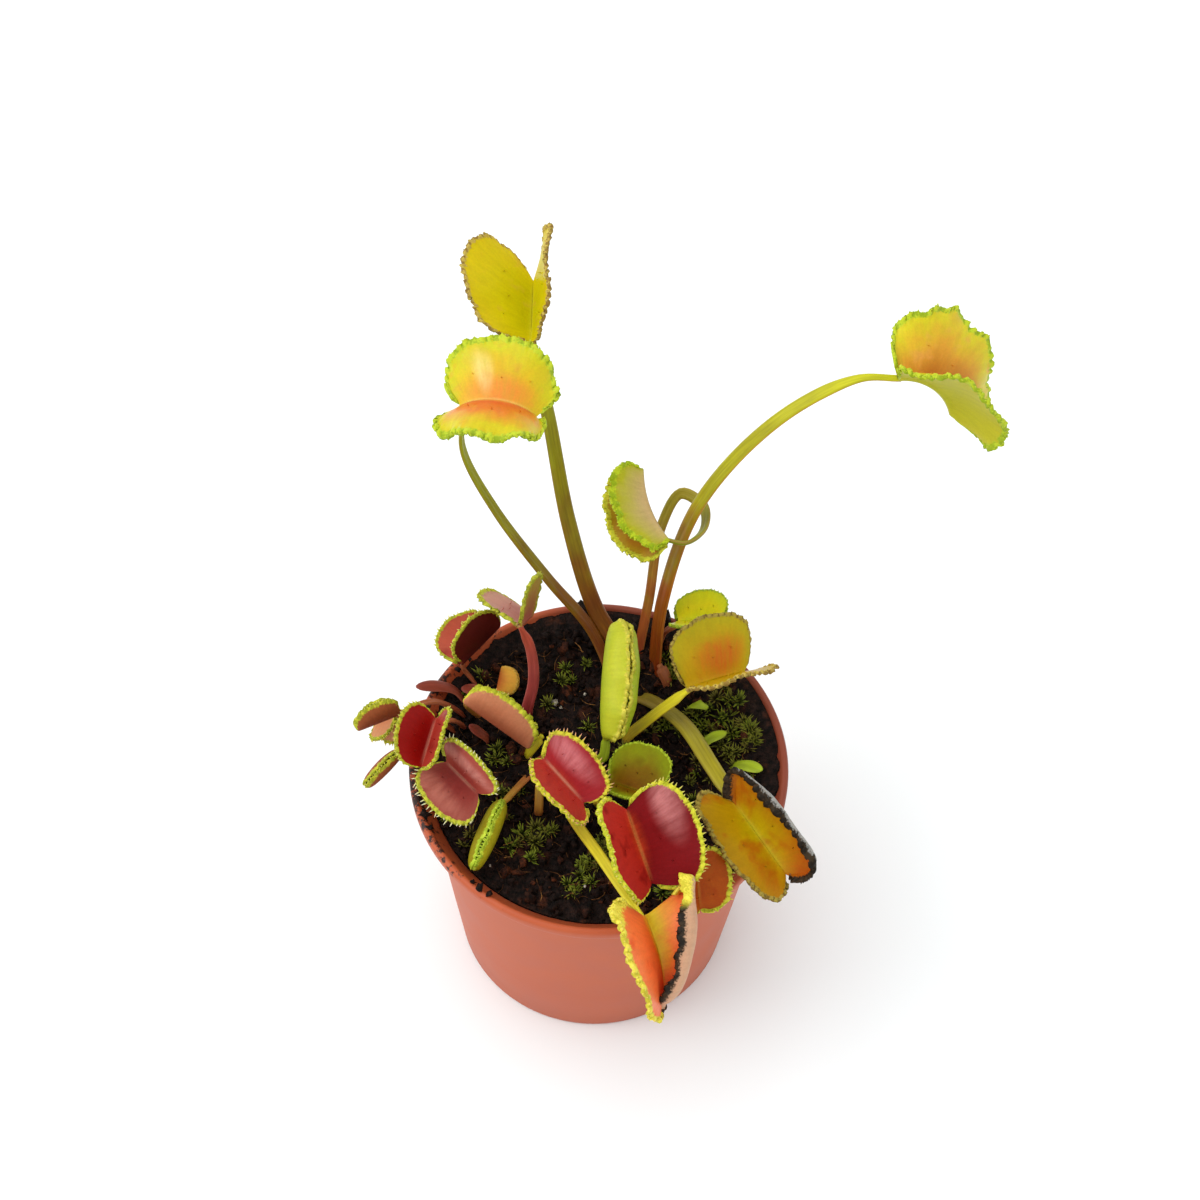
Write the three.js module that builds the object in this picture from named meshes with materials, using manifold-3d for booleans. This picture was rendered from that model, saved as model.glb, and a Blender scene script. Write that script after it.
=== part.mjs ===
// A potted Venus flytrap: a tapered plastic nursery pot filled with peat, and twenty-three leaves.
// Each leaf is a flat stalk that stands in its own hole in the peat and carries one snap trap.
// Millimetres, +Z up. The origin is the middle of the pot's underside, and -Y is the front.
import * as THREE from 'three';
import { mergeVertices } from 'three/addons/utils/BufferGeometryUtils.js';
import Module from 'manifold-3d';

const wasm = await Module();
wasm.setup();

// Driving dimensions of the pot and its peat
const POT_DIAMETER = 85;
const POT_HEIGHT = 71;
const BASE_DIAMETER = 65;
const LIP_HEIGHT = 3;
const LIP_OVERHANG = 3.6;
const WALL = 0.9;
const FLOOR = 1.4;
const PEAT_LEVEL = 65;
const BANK_RISE = 3.4;
const BANK_SIDE = 60;
const SEAT_GAP = 0.3;
const DRAIN_HOLES = 6;
const DRAIN_RADIUS = 1.8;
const DRAIN_CIRCLE = 22;
const ROUND_SIDES = 36;

// Driving dimensions shared by every leaf
const LOBE_THICKNESS = 0.8;
const MARGIN_THICKNESS = 0.6;
const TOOTH_LENGTH = 1.3;
const WAVES_PER_MM = 0.2;
const RIBBON_SIDES = 6;
const ROOT_DEPTH = 5;
const NECK = 0.6;
const NECK_GAP = 0.6;

// Finishes
const plastic = (colour, roughness) => new THREE.MeshStandardMaterial({ color: colour, roughness, metalness: 0 });
const terracotta = plastic(0xb9593a, 0.5);
const peatBrown = plastic(0x2c1a12, 0.95);
const FINISH = {
  red: plastic(0x9e1f2a, 0.4),
  maroon: plastic(0x8a4038, 0.45),
  orange: plastic(0xe06a2c, 0.45),
  amber: plastic(0xc9a21e, 0.45),
  lime: plastic(0xa3b52a, 0.45),
  olive: plastic(0x8f9420, 0.5),
  rust: plastic(0x8a4a2c, 0.5),
};

const degrees = (angle) => (angle * Math.PI) / 180;

// A unit vector from a compass angle (0 is +X, 90 is +Y) and an angle above the horizon.
function direction([azimuth, elevation]) {
  const flat = Math.cos(degrees(elevation));
  return new THREE.Vector3(
    flat * Math.cos(degrees(azimuth)),
    flat * Math.sin(degrees(azimuth)),
    Math.sin(degrees(elevation)),
  );
}

// The leaves. A trap's midrib starts at base, runs along aim for length mm, and the trap opens towards face.
// bend curls the midrib towards face over its length, and reach is how far the lobes stand past its two ends.
// lobes gives for each lobe its width from midrib to margin, and its angle from the trap's mid-plane at the
// midrib and at the margin, so that a second angle below zero closes the trap. A fourth number turns the lobe
// further out by that angle towards the tip. wave is the height of the waves in the margin. The stalk stands
// in the peat at foot, runs through the points of via, and is stalk mm wide at its foot and at the trap.
const LEAVES = [
  { name: 'tall_back', trapFinish: 'amber', stalkFinish: 'olive',
    base: [-18, 63, 140], aim: [91, 12], face: [-161, 64], length: 14.5, bend: 0, reach: [0.5, 8],
    lobes: [[16, 39, 40], [15, 48, 24]], wave: 0.5,
    foot: [5, 31], via: [[-2, 37, 76], [-9, 48, 95], [-14, 61, 115], [-17, 65, 130]], stalk: [4.4, 2.9] },
  { name: 'tall_left', trapFinish: 'orange', stalkFinish: 'olive',
    base: [-32, 46, 138.5], aim: [6, 35], face: [150, 52], length: 17, bend: -75, reach: [2.5, 1.5],
    lobes: [[15, 55, 58], [15, 55, 108]], wave: 0.9,
    foot: [2, 26], via: [[-3, 33, 74], [-13, 37, 88], [-25, 42, 107], [-32, 45, 125]], stalk: [3.6, 2.3] },
  { name: 'tall_right', trapFinish: 'orange', stalkFinish: 'olive',
    base: [61, 60, 137], aim: [6, -4], face: [79, 75], length: 18, bend: -75, reach: [1.5, 4],
    lobes: [[18, 30, 62], [15, 40, 60]], wave: 0.9,
    foot: [12, 27], via: [[13, 35, 84], [20, 45, 109], [36, 53, 130], [52, 59, 137]], stalk: [4.6, 2.8] },
  { name: 'curled', trapFinish: 'lime', stalkFinish: 'rust',
    base: [13, 36, 106], aim: [128, 5], face: [-143, -13], length: 19, bend: -38, reach: [1, 1],
    lobes: [[10, 26, -8], [9, 48, 18]], wave: 0.7,
    foot: [8, 31], via: [[10, 38, 80], [12, 48, 95], [16, 53, 101], [21, 49, 102], [21, 41, 104], [17, 36, 106]],
    stalk: [2.6, 1.9] },
  { name: 'closed_green', trapFinish: 'lime', stalkFinish: 'olive',
    base: [1.6, 5, 73], aim: [88, 26], face: [-39, 53], length: 25, bend: 0, reach: [1, 1.5],
    lobes: [[12.5, 84, -74], [12.5, 84, -74]], wave: 0.4,
    foot: [0, 3], via: [[1, 3, 68]], stalk: [2.6, 2.2] },
  { name: 'right_open', trapFinish: 'amber', stalkFinish: 'olive',
    base: [19, 12, 84], aim: [25, -7], face: [79, 78], length: 14, bend: 0, reach: [2.5, 4],
    lobes: [[13.5, 43, 45], [13.5, 43, 43]], wave: 0.4,
    foot: [6, 9], via: [[10, 10, 72]], stalk: [3.2, 2.8] },
  { name: 'right_back', trapFinish: 'lime', stalkFinish: 'rust',
    base: [17, 32, 80], aim: [-5, 18], face: [123, 62], length: 10, bend: 0, reach: [1.5, 1.5],
    lobes: [[8, 60, 66], [8, 60, 66]], wave: 0.2,
    foot: [13, 32], via: [[14, 33, 74]], stalk: [2.2, 1.8] },
  { name: 'rim_right', trapFinish: 'amber', stalkFinish: 'lime',
    base: [30, -16, 82], aim: [-50, -18], face: [-111, 57], length: 18, bend: 0, reach: [7, 4.5],
    lobes: [[11.5, 62, 8, 26], [10, 43, 53]], wave: 0.4,
    foot: [9, 20], via: [[18, 10, 73], [25, -5, 79]], stalk: [4.6, 3.8] },
  { name: 'rim_front', trapFinish: 'orange', stalkFinish: 'lime',
    base: [10.6, -44.8, 84.5], aim: [-58, -25], face: [-8, 55], length: 19, bend: -40, reach: [4, 1],
    lobes: [[14.5, 72, -14, -82], [14, 55, 72]], wave: 0.6,
    foot: [-8, -6], via: [[-5, -15, 71], [1, -28, 79]], stalk: [2.6, 2.4] },
  { name: 'centre_red', trapFinish: 'red', stalkFinish: 'rust',
    base: [-12, -9, 86], aim: [-37, -29], face: [8, 52], length: 12.5, bend: 0, reach: [3, 3],
    lobes: [[10.5, 75, 67], [11.5, 69, 73]], wave: 0.3,
    foot: [-12, 3], via: [[-13, -3, 76]], stalk: [2.2, 1.8] },
  { name: 'front_red', trapFinish: 'red', stalkFinish: 'olive',
    base: [6, -24.2, 92.8], aim: [-66, -25], face: [-29, 59], length: 16, bend: 0, reach: [4, 3.5],
    lobes: [[13.8, 53, 61], [14.5, 59, 47]], wave: 0.4,
    foot: [0, -8], via: [[3, -16, 80]], stalk: [2.2, 1.8] },
  { name: 'behind_red', trapFinish: 'orange', stalkFinish: 'rust',
    base: [21, -28, 80], aim: [-80, -34], face: [-27, 42], length: 11, bend: 0, reach: [2, 1],
    lobes: [[8, 58, 64], [8, 50, 70]], wave: 0.3,
    foot: [11, -3], via: [[14, -10, 70], [18, -19, 76]], stalk: [2.2, 2] },
  { name: 'centre_green', trapFinish: 'olive', stalkFinish: 'olive',
    base: [2.8, -6, 72], aim: [-26, 14], face: [97, 65], length: 10.5, bend: 0, reach: [2, 2.5],
    lobes: [[11, 40, 50], [4.5, 70, 80]], wave: 0.3,
    foot: [2, -2], via: [[3, -5, 68]], stalk: [2.2, 1.8] },
  { name: 'left_back_dark', trapFinish: 'red', stalkFinish: 'rust',
    base: [-32, 19, 80], aim: [49, 6], face: [144, 38], length: 12.5, bend: 0, reach: [1.5, 0.5],
    lobes: [[10, 52, 28], [10, 54, 27]], wave: 0.2,
    foot: [-28, 20.5], via: [[-31.5, 21.5, 73]], stalk: [2.2, 1.6] },
  { name: 'left_back_pink', trapFinish: 'maroon', stalkFinish: 'rust',
    base: [-18, 21, 92], aim: [76, -29], face: [121, 51], length: 10.5, bend: 0, reach: [1, 1],
    lobes: [[11, 35, 38], [11, 34, 38]], wave: 0.2,
    foot: [-17, 15], via: [[-15.6, 19, 73], [-16.4, 21, 84]], stalk: [3.2, 2] },
  { name: 'left_red', trapFinish: 'red', stalkFinish: 'rust',
    base: [-36, 0, 86], aim: [-103, -12], face: [-152, 72], length: 11, bend: 0, reach: [2.5, 1],
    lobes: [[8.5, 48, 31], [8.5, 44, 41]], wave: 0.2,
    foot: [-31, 10], via: [[-33, 5, 78]], stalk: [2.2, 1.6] },
  { name: 'left_low_red', trapFinish: 'maroon', stalkFinish: 'rust',
    base: [-33, -7, 80], aim: [-43, -8], face: [-128, 53], length: 9.5, bend: 0, reach: [3, 4],
    lobes: [[10, 44, 53], [10, 52, 53]], wave: 0.2,
    foot: [-29, 4], via: [[-31, -2, 72]], stalk: [2.2, 1.6] },
  { name: 'far_left', trapFinish: 'maroon', stalkFinish: 'rust',
    base: [-45, 4, 82], aim: [-147, 6], face: [108, 66], length: 9.5, bend: 0, reach: [0.5, 0.5],
    lobes: [[5.5, 62, -52], [5.5, 62, -52]], wave: 0.2,
    foot: [-31, 13], via: [[-38, 9, 79]], stalk: [2, 1.4] },
  { name: 'far_left_low', trapFinish: 'maroon', stalkFinish: 'rust',
    base: [-45.3, 5.3, 77.6], aim: [159, -48], face: [-90, -17], length: 7.5, bend: 0, reach: [0.5, 0.5],
    lobes: [[5.5, 30, 20], [5.5, 30, 20]], wave: 0.2,
    foot: [-33, 9], via: [[-39, 7, 75]], stalk: [1.8, 1.4] },
  { name: 'left_tip', trapFinish: 'maroon', stalkFinish: 'rust',
    base: [-44.1, -2.8, 76.3], aim: [-136, -21], face: [-107, 65], length: 10, bend: 0, reach: [0.3, 0.5],
    lobes: [[4.7, 80, -66], [4.7, 80, -66]], wave: 0.2,
    foot: [-33, 6], via: [[-39, 2, 74]], stalk: [1.8, 1.4] },
  { name: 'left_closed', trapFinish: 'maroon', stalkFinish: 'rust',
    base: [-30, 10, 78], aim: [-28, -22], face: [44, 38], length: 17, bend: 0, reach: [0.8, 0.3],
    lobes: [[7.5, 66, -56], [7.5, 66, -56]], wave: 0.2,
    foot: [-28, 13], via: [[-30, 12, 72]], stalk: [2.8, 1.8] },
  { name: 'front_closed', trapFinish: 'olive', stalkFinish: 'rust',
    base: [-21, -13, 73.5], aim: [-112, -20], face: [-91, 68], length: 15.5, bend: 0, reach: [0.3, 0.3],
    lobes: [[7, 82, -70], [7, 82, -70]], wave: 0.2,
    foot: [-15, -1], via: [[-17, -4, 67]], stalk: [2, 1.6] },
  { name: 'young_bud', trapFinish: 'orange', stalkFinish: 'rust',
    base: [-23.5, 18.5, 69], aim: [80, 40], face: [-12, 20], length: 5.5, bend: 0, reach: [0.3, 0.3],
    lobes: [[5.2, 66, -60], [5.2, 66, -60]], wave: 0,
    foot: [-24, 16], via: [], stalk: [1.6, 1.4] },
];

// Small leaves, buds and leaf stubs. Each stands in the peat at the first point of path, and width is its widest.
// A leaf tapers at both ends, a bud is fullest near its end, and a stub is cut off square.
const SMALL = [
  { name: 'stub', kind: 'stub', finish: 'rust', width: 2.2, path: [[-13, -10, 67], [-13, -7, 71.5]] },
  { name: 'bud_orange', kind: 'bud', finish: 'orange', width: 2.6, path: [[-16, 4, 66], [-13, 6, 71]] },
  { name: 'bud_brown', kind: 'bud', finish: 'rust', width: 3, path: [[15, 24, 67], [13, 26, 71]] },
  { name: 'leaf_over_rim', kind: 'leaf', finish: 'maroon', width: 3.4, path: [[-31, 16, 67], [-33.5, 17.4, 70.4], [-37, 17, 72.6], [-42, 15.7, 74]] },
  { name: 'leaf_left_back', kind: 'leaf', finish: 'maroon', width: 3.2, path: [[-26, 16.5, 67], [-28, 17.8, 69.8], [-32, 17.8, 70.6]] },
  { name: 'leaf_left_low', kind: 'leaf', finish: 'maroon', width: 2.6, path: [[-25.5, 7, 67], [-27.5, 7.3, 69.6], [-29.6, 7.8, 71.2]] },
  { name: 'leaf_right', kind: 'leaf', finish: 'lime', width: 3.2, path: [[30, 2, 67], [33, 1, 70], [36.6, -0.6, 71]] },
  { name: 'leaf_right_back', kind: 'leaf', finish: 'olive', width: 2.6, path: [[22, 6, 67], [25, 8, 69.4], [28.6, 9.4, 70]] },
  { name: 'leaf_under_trap', kind: 'leaf', finish: 'lime', width: 4, path: [[21, 18, 67], [22, 16, 70.5], [24, 14.4, 72]] },
];
const SMALL_SHAPES = {
  stub: (share) => 1 - 0.15 * share,
  bud: (share) => (share > 0.95 ? 0.35 : 0.5 + 0.5 * Math.sin(Math.PI * (share - 0.25))),
  leaf: (share) => 0.25 + 0.75 * Math.sin(Math.PI * Math.min(1, 0.15 + 0.8 * share)),
};

// Turns a closed three.js geometry into a manifold solid, facing outwards.
function solidFrom(geometry) {
  const plain = geometry.clone();
  plain.deleteAttribute('normal');
  plain.deleteAttribute('uv');
  const merged = mergeVertices(plain, 1e-4);
  const positions = merged.attributes.position.array;
  const triangles = new Uint32Array(merged.index.array);
  const make = () => new wasm.Manifold(
    new wasm.Mesh({ numProp: 3, vertProperties: positions, triVerts: triangles }),
  );
  const solid = make();
  if (solid.volume() >= 0) return solid;
  for (let i = 0; i < triangles.length; i += 3) {
    [triangles[i + 1], triangles[i + 2]] = [triangles[i + 2], triangles[i + 1]];
  }
  return make();
}

// Turns a manifold solid back into a three.js geometry.
function geometryFrom(solid) {
  const { vertProperties, triVerts } = solid.getMesh();
  const geometry = new THREE.BufferGeometry();
  geometry.setAttribute('position', new THREE.BufferAttribute(new Float32Array(vertProperties), 3));
  geometry.setIndex(new THREE.BufferAttribute(new Uint32Array(triVerts), 1));
  geometry.computeVertexNormals();
  return geometry;
}

const part = new THREE.Group();
function add(name, solid, material) {
  const mesh = new THREE.Mesh(geometryFrom(solid), material);
  mesh.name = name;
  part.add(mesh);
}

// Pot: a lathed wall and floor with a rolled lip, and round drain holes in the floor
const lipRadius = POT_DIAMETER / 2;
const wallTopRadius = lipRadius - LIP_OVERHANG;
const baseRadius = BASE_DIAMETER / 2;
const lipUnderside = POT_HEIGHT - LIP_HEIGHT;
const slope = (wallTopRadius - baseRadius) / lipUnderside;
const innerRadius = (z) => baseRadius + slope * z - WALL;

function potSolid() {
  const profile = [
    [0, 0], [baseRadius - 1, 0], [baseRadius, 1],
    [wallTopRadius, lipUnderside], [lipRadius - 0.4, lipUnderside], [lipRadius, lipUnderside + 0.5],
    [lipRadius, POT_HEIGHT - 0.7], [lipRadius - 0.6, POT_HEIGHT], [lipRadius - 1.5, POT_HEIGHT],
    [lipRadius - 2.1, POT_HEIGHT - 0.7], [innerRadius(POT_HEIGHT - 5), POT_HEIGHT - 5],
    [innerRadius(FLOOR + 1), FLOOR + 1], [innerRadius(FLOOR) - 1, FLOOR], [0, FLOOR],
  ].map(([radius, z]) => new THREE.Vector2(radius, z));
  const lathe = new THREE.LatheGeometry(profile, ROUND_SIDES).rotateX(Math.PI / 2);
  let pot = solidFrom(lathe);
  for (let i = 0; i < DRAIN_HOLES; i++) {
    const angle = (i / DRAIN_HOLES) * 2 * Math.PI;
    const drill = new THREE.CylinderGeometry(DRAIN_RADIUS, DRAIN_RADIUS, 3 * FLOOR, 10)
      .rotateX(Math.PI / 2)
      .translate(DRAIN_CIRCLE * Math.cos(angle), DRAIN_CIRCLE * Math.sin(angle), FLOOR / 2);
    pot = pot.subtract(solidFrom(drill));
  }
  return pot;
}

// Height of the peat's lumpy surface. It is banked up against the wall, most of all on BANK_SIDE.
function peatHeight(x, y) {
  const lumps = Math.sin(0.31 * x + 0.5) * Math.cos(0.27 * y) + 0.5 * Math.sin(0.73 * x + 0.61 * y + 1);
  const slopeShare = THREE.MathUtils.smoothstep(Math.hypot(x, y), 18, 36);
  const sideShare = 0.65 + 0.35 * Math.cos(Math.atan2(y, x) - degrees(BANK_SIDE));
  return PEAT_LEVEL + 0.9 * lumps * (1 - 0.5 * slopeShare) + BANK_RISE * slopeShare * sideShare;
}

// Peat: a plug that fills the pot to about PEAT_LEVEL, with its top raised by peatHeight.
function peatSolid() {
  const rings = [0, 9, 18, 27, innerRadius(PEAT_LEVEL) - SEAT_GAP];
  const bottom = FLOOR + SEAT_GAP;
  const positions = [];
  const indices = [];
  const point = (radius, side, z) => {
    const angle = (side / ROUND_SIDES) * 2 * Math.PI;
    const x = radius * Math.cos(angle);
    const y = radius * Math.sin(angle);
    positions.push(x, y, z === undefined ? peatHeight(x, y) : z);
    return positions.length / 3 - 1;
  };
  const centre = point(0, 0);
  const rows = rings.slice(1).map((radius) => Array.from({ length: ROUND_SIDES }, (_, side) => point(radius, side)));
  const bottomRadius = innerRadius(bottom) - 1.2;
  rows.push(Array.from({ length: ROUND_SIDES }, (_, side) => point(bottomRadius, side, bottom)));
  const under = point(0, 0, bottom);
  for (let side = 0; side < ROUND_SIDES; side++) {
    const next = (side + 1) % ROUND_SIDES;
    indices.push(centre, rows[0][side], rows[0][next]);
    for (let row = 0; row + 1 < rows.length; row++) {
      const [a, b] = [rows[row][side], rows[row][next]];
      const [c, d] = [rows[row + 1][side], rows[row + 1][next]];
      indices.push(a, c, d, a, d, b);
    }
    const last = rows[rows.length - 1];
    indices.push(under, last[next], last[side]);
  }
  const geometry = new THREE.BufferGeometry();
  geometry.setAttribute('position', new THREE.Float32BufferAttribute(positions, 3));
  geometry.setIndex(indices);
  return solidFrom(geometry);
}

// One trap's own axes: along the midrib, sideways, and out of the open mouth.
function trapAxes(leaf) {
  const along = direction(leaf.aim);
  const face = direction(leaf.face);
  const out = face.addScaledVector(along, -face.dot(along)).normalize();
  return { along, side: new THREE.Vector3().crossVectors(out, along), out };
}

// A point of one lobe. t runs along the lobe from the stalk to the tip, r from the midrib to the margin,
// and hand is 1 or -1 for the two lobes.
function lobePoint(leaf, axes, t, r, hand) {
  const { length, bend, reach } = leaf;
  const [width, atRib, atMargin, tipTurn = 0] = leaf.lobes[hand > 0 ? 0 : 1];
  const swell = (share) => 1.8 * Math.sqrt(Math.sin(Math.PI * share)) * Math.cos((Math.PI * share) / 2) ** 2;
  const x = (length / 2) * (1 - Math.cos(Math.PI * t)) + r * (reach[1] * swell(1 - t) - reach[0] * swell(t));
  const s = width * Math.sin(Math.PI * t) ** 0.65 * r;
  const start = degrees(atRib + tipTurn * t);
  const turn = degrees(atMargin - atRib) / width || 1e-6;
  const y = (Math.cos(start) - Math.cos(start + turn * s)) / turn;
  const z = (Math.sin(start + turn * s) - Math.sin(start)) / turn;
  const curl = degrees(bend) / length || 1e-6;
  return new THREE.Vector3(...leaf.base)
    .addScaledVector(axes.along, (1 / curl - z) * Math.sin(curl * x))
    .addScaledVector(axes.out, (1 - Math.cos(curl * x)) / curl + z * Math.cos(curl * x))
    .addScaledVector(axes.side, hand * y);
}

// A trap: two lobes as one folded sheet with a toothed margin. grow thickens it, for cutting a stalk clear.
function trapSolid(leaf, grow) {
  const axes = trapAxes(leaf);
  const teeth = Math.round(leaf.length * 0.35 + 4);
  const rows = [-1, -0.85, -0.45, 0, 0.45, 0.85, 1];
  const first = 0.05;
  const step = (1 - 2 * first) / teeth;
  const nudge = 1e-3;
  const sample = (t, v) => lobePoint(leaf, axes, t, Math.abs(v), v < 0 ? -1 : 1);
  const positions = [];
  const indices = [];
  // Adds the pair of points of the inner and the outer face, and returns their two numbers.
  const pair = (t, v, reach) => {
    const alongT = sample(t + nudge, v).sub(sample(t - nudge, v)).normalize();
    const alongV = sample(t, v + nudge).sub(sample(t, v - nudge)).normalize();
    const normal = new THREE.Vector3().crossVectors(alongT, alongV).normalize();
    if (normal.dot(axes.out) < 0 && v === 0) normal.negate();
    const thickness = (Math.abs(v) > 0.9 ? MARGIN_THICKNESS : LOBE_THICKNESS) + 2 * grow;
    const wave = leaf.wave * v ** 4 * Math.sin(WAVES_PER_MM * leaf.length * t * 2 * Math.PI + v);
    const middle = sample(t, v).addScaledVector(alongV, Math.sign(v) * reach).addScaledVector(normal, wave);
    for (const way of [0.5, -0.5]) {
      const point = middle.clone().addScaledVector(normal, way * thickness);
      positions.push(point.x, point.y, point.z);
    }
    return [positions.length / 3 - 2, positions.length / 3 - 1];
  };
  const grid = [];
  for (let column = 0; column <= teeth; column++) {
    grid.push(rows.map((v) => pair(first + column * step, v, 0)));
  }
  const quad = (a, b, c, d) => indices.push(a, b, c, a, c, d);
  for (let column = 0; column < teeth; column++) {
    const [here, next] = [grid[column], grid[column + 1]];
    for (let row = 0; row + 1 < rows.length; row++) {
      quad(here[row][0], next[row][0], next[row + 1][0], here[row + 1][0]);
      quad(here[row][1], here[row + 1][1], next[row + 1][1], next[row][1]);
    }
    const t = first + (column + 0.5) * step;
    for (const row of [0, rows.length - 1]) {
      const tip = pair(t, rows[row] * 0.999, TOOTH_LENGTH);
      const [a, b] = row === 0 ? [here[row], next[row]] : [next[row], here[row]];
      indices.push(a[0], tip[0], b[0], a[1], b[1], tip[1]);
      quad(a[0], a[1], tip[1], tip[0]);
      quad(tip[0], tip[1], b[1], b[0]);
    }
  }
  for (const column of [0, teeth]) {
    const edge = column === 0 ? grid[column] : [...grid[column]].reverse();
    for (let row = 0; row + 1 < rows.length; row++) {
      quad(edge[row][0], edge[row + 1][0], edge[row + 1][1], edge[row][1]);
    }
  }
  const geometry = new THREE.BufferGeometry();
  geometry.setAttribute('position', new THREE.Float32BufferAttribute(positions, 3));
  geometry.setIndex(indices);
  return solidFrom(geometry);
}

// A ribbon with six sides, swept along points. widthAt and thicknessAt give its section by the share of the way
// along it. At its foot the flat side looks back from the way it leans. grow widens it, for cutting a hole.
function ribbonSolid({ points, widthAt, thicknessAt, stepLength }, grow) {
  const curve = new THREE.CatmullRomCurve3(points, false, 'centripetal');
  const steps = Math.max(4, Math.round(curve.getLength() / stepLength));
  const positions = [];
  const indices = [];
  const sections = [];
  let flat = points[0].clone().sub(points[points.length - 1]).setZ(0);
  for (let i = 0; i <= steps; i++) {
    const share = i / steps;
    const centre = curve.getPointAt(share);
    const tangent = curve.getTangentAt(share);
    flat = flat.addScaledVector(tangent, -flat.dot(tangent)).normalize();
    const across = new THREE.Vector3().crossVectors(tangent, flat);
    const section = [];
    for (let side = 0; side < RIBBON_SIDES; side++) {
      const angle = (side / RIBBON_SIDES) * 2 * Math.PI;
      const point = centre.clone()
        .addScaledVector(across, (widthAt(share) / 2 + grow) * Math.cos(angle))
        .addScaledVector(flat, (thicknessAt(share) / 2 + grow) * Math.sin(angle));
      section.push(positions.length / 3);
      positions.push(point.x, point.y, point.z);
    }
    sections.push(section);
  }
  for (let i = 0; i < steps; i++) {
    for (let side = 0; side < RIBBON_SIDES; side++) {
      const next = (side + 1) % RIBBON_SIDES;
      const [a, b] = [sections[i][side], sections[i][next]];
      const [c, d] = [sections[i + 1][side], sections[i + 1][next]];
      indices.push(a, b, d, a, d, c);
    }
  }
  for (let side = 1; side + 1 < RIBBON_SIDES; side++) {
    indices.push(sections[0][0], sections[0][side + 1], sections[0][side]);
    indices.push(sections[steps][0], sections[steps][side], sections[steps][side + 1]);
  }
  const geometry = new THREE.BufferGeometry();
  geometry.setAttribute('position', new THREE.Float32BufferAttribute(positions, 3));
  geometry.setIndex(indices);
  return solidFrom(geometry);
}

// A leaf's stalk: from below the peat to just short of the foot of the midrib, with a narrow neck there.
function stalkRibbon(leaf) {
  const axes = trapAxes(leaf);
  const [footX, footY] = leaf.foot;
  const [footWidth, trapWidth] = leaf.stalk;
  const widthAt = (share) => (footWidth + (trapWidth - footWidth) * share) * (share > 0.9 ? NECK : 1);
  return {
    points: [
      new THREE.Vector3(footX, footY, PEAT_LEVEL - ROOT_DEPTH),
      new THREE.Vector3(footX, footY, PEAT_LEVEL + 1),
      ...leaf.via.map((point) => new THREE.Vector3(...point)),
      new THREE.Vector3(...leaf.base).addScaledVector(axes.along, -NECK_GAP),
    ],
    widthAt,
    thicknessAt: (share) => Math.max(1.2, widthAt(share) / 2),
    stepLength: 6,
  };
}

// A small leaf, bud or stub, from below the peat.
function smallRibbon({ kind, width, path }) {
  const [foot, ...rest] = path.map((point) => new THREE.Vector3(...point));
  const root = foot.clone().setZ(PEAT_LEVEL - ROOT_DEPTH);
  const widthAt = (share) => Math.max(1, width * SMALL_SHAPES[kind](share));
  return {
    points: [root, foot, ...rest],
    widthAt,
    thicknessAt: (share) => (kind === 'leaf' ? 0.9 : 0.8 * widthAt(share)),
    stepLength: 2.4,
  };
}

// The largest body of a solid that a cut may have left in several.
function largestBody(solid) {
  return solid.decompose().sort((one, other) => other.volume() - one.volume())[0];
}

let peat = peatSolid();
for (const leaf of LEAVES) {
  const ribbon = stalkRibbon(leaf);
  const stalk = largestBody(ribbonSolid(ribbon, 0).subtract(trapSolid(leaf, SEAT_GAP)));
  peat = peat.subtract(ribbonSolid(ribbon, SEAT_GAP));
  add(`stalk_${leaf.name}`, stalk, FINISH[leaf.stalkFinish]);
  add(`trap_${leaf.name}`, trapSolid(leaf, 0), FINISH[leaf.trapFinish]);
}
for (const small of SMALL) {
  const ribbon = smallRibbon(small);
  peat = peat.subtract(ribbonSolid(ribbon, SEAT_GAP));
  add(small.name, ribbonSolid(ribbon, 0), FINISH[small.finish]);
}
add('peat', peat, peatBrown);
add('pot', potSolid(), terracotta);

export default part;
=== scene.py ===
# %% [markdown]
# # A potted Venus flytrap
# A small tapered nursery pot holds a plug of peat, and out of it grow twenty-three leaves. Each leaf is
# a flat stalk that ends in a snap trap: two lobes on a midrib, with a frilly or toothed margin.
# The imported model is loaded first. It is the fixed frame that everything here is fitted to.

# %% Load the frame
import math

import bpy
import numpy as np
from mathutils import Matrix, Vector, noise


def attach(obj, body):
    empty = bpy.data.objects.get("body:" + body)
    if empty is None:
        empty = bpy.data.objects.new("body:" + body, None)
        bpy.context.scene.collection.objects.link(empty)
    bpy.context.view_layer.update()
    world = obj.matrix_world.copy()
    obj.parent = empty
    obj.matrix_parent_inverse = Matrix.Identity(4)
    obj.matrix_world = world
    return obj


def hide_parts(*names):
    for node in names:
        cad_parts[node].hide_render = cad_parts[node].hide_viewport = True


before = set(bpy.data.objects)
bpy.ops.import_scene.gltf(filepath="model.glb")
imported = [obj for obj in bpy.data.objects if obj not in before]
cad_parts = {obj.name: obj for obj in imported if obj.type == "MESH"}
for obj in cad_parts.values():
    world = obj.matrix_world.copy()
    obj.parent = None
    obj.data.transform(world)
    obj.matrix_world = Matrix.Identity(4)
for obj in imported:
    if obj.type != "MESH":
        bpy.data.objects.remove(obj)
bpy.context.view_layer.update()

MM = 0.001
bpy.ops.object.select_all(action="DESELECT")
random = np.random.default_rng(11)

# %% [markdown]
# ## Working tools
# Lengths in this file are in millimetres, because a leaf is easier to think of that way, and they are
# turned to Blender's metres when a mesh is written. Colours are written as they look on a screen, and
# the renderer wants them linear. One function adds a shader node, with its settings, values and links.

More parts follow.
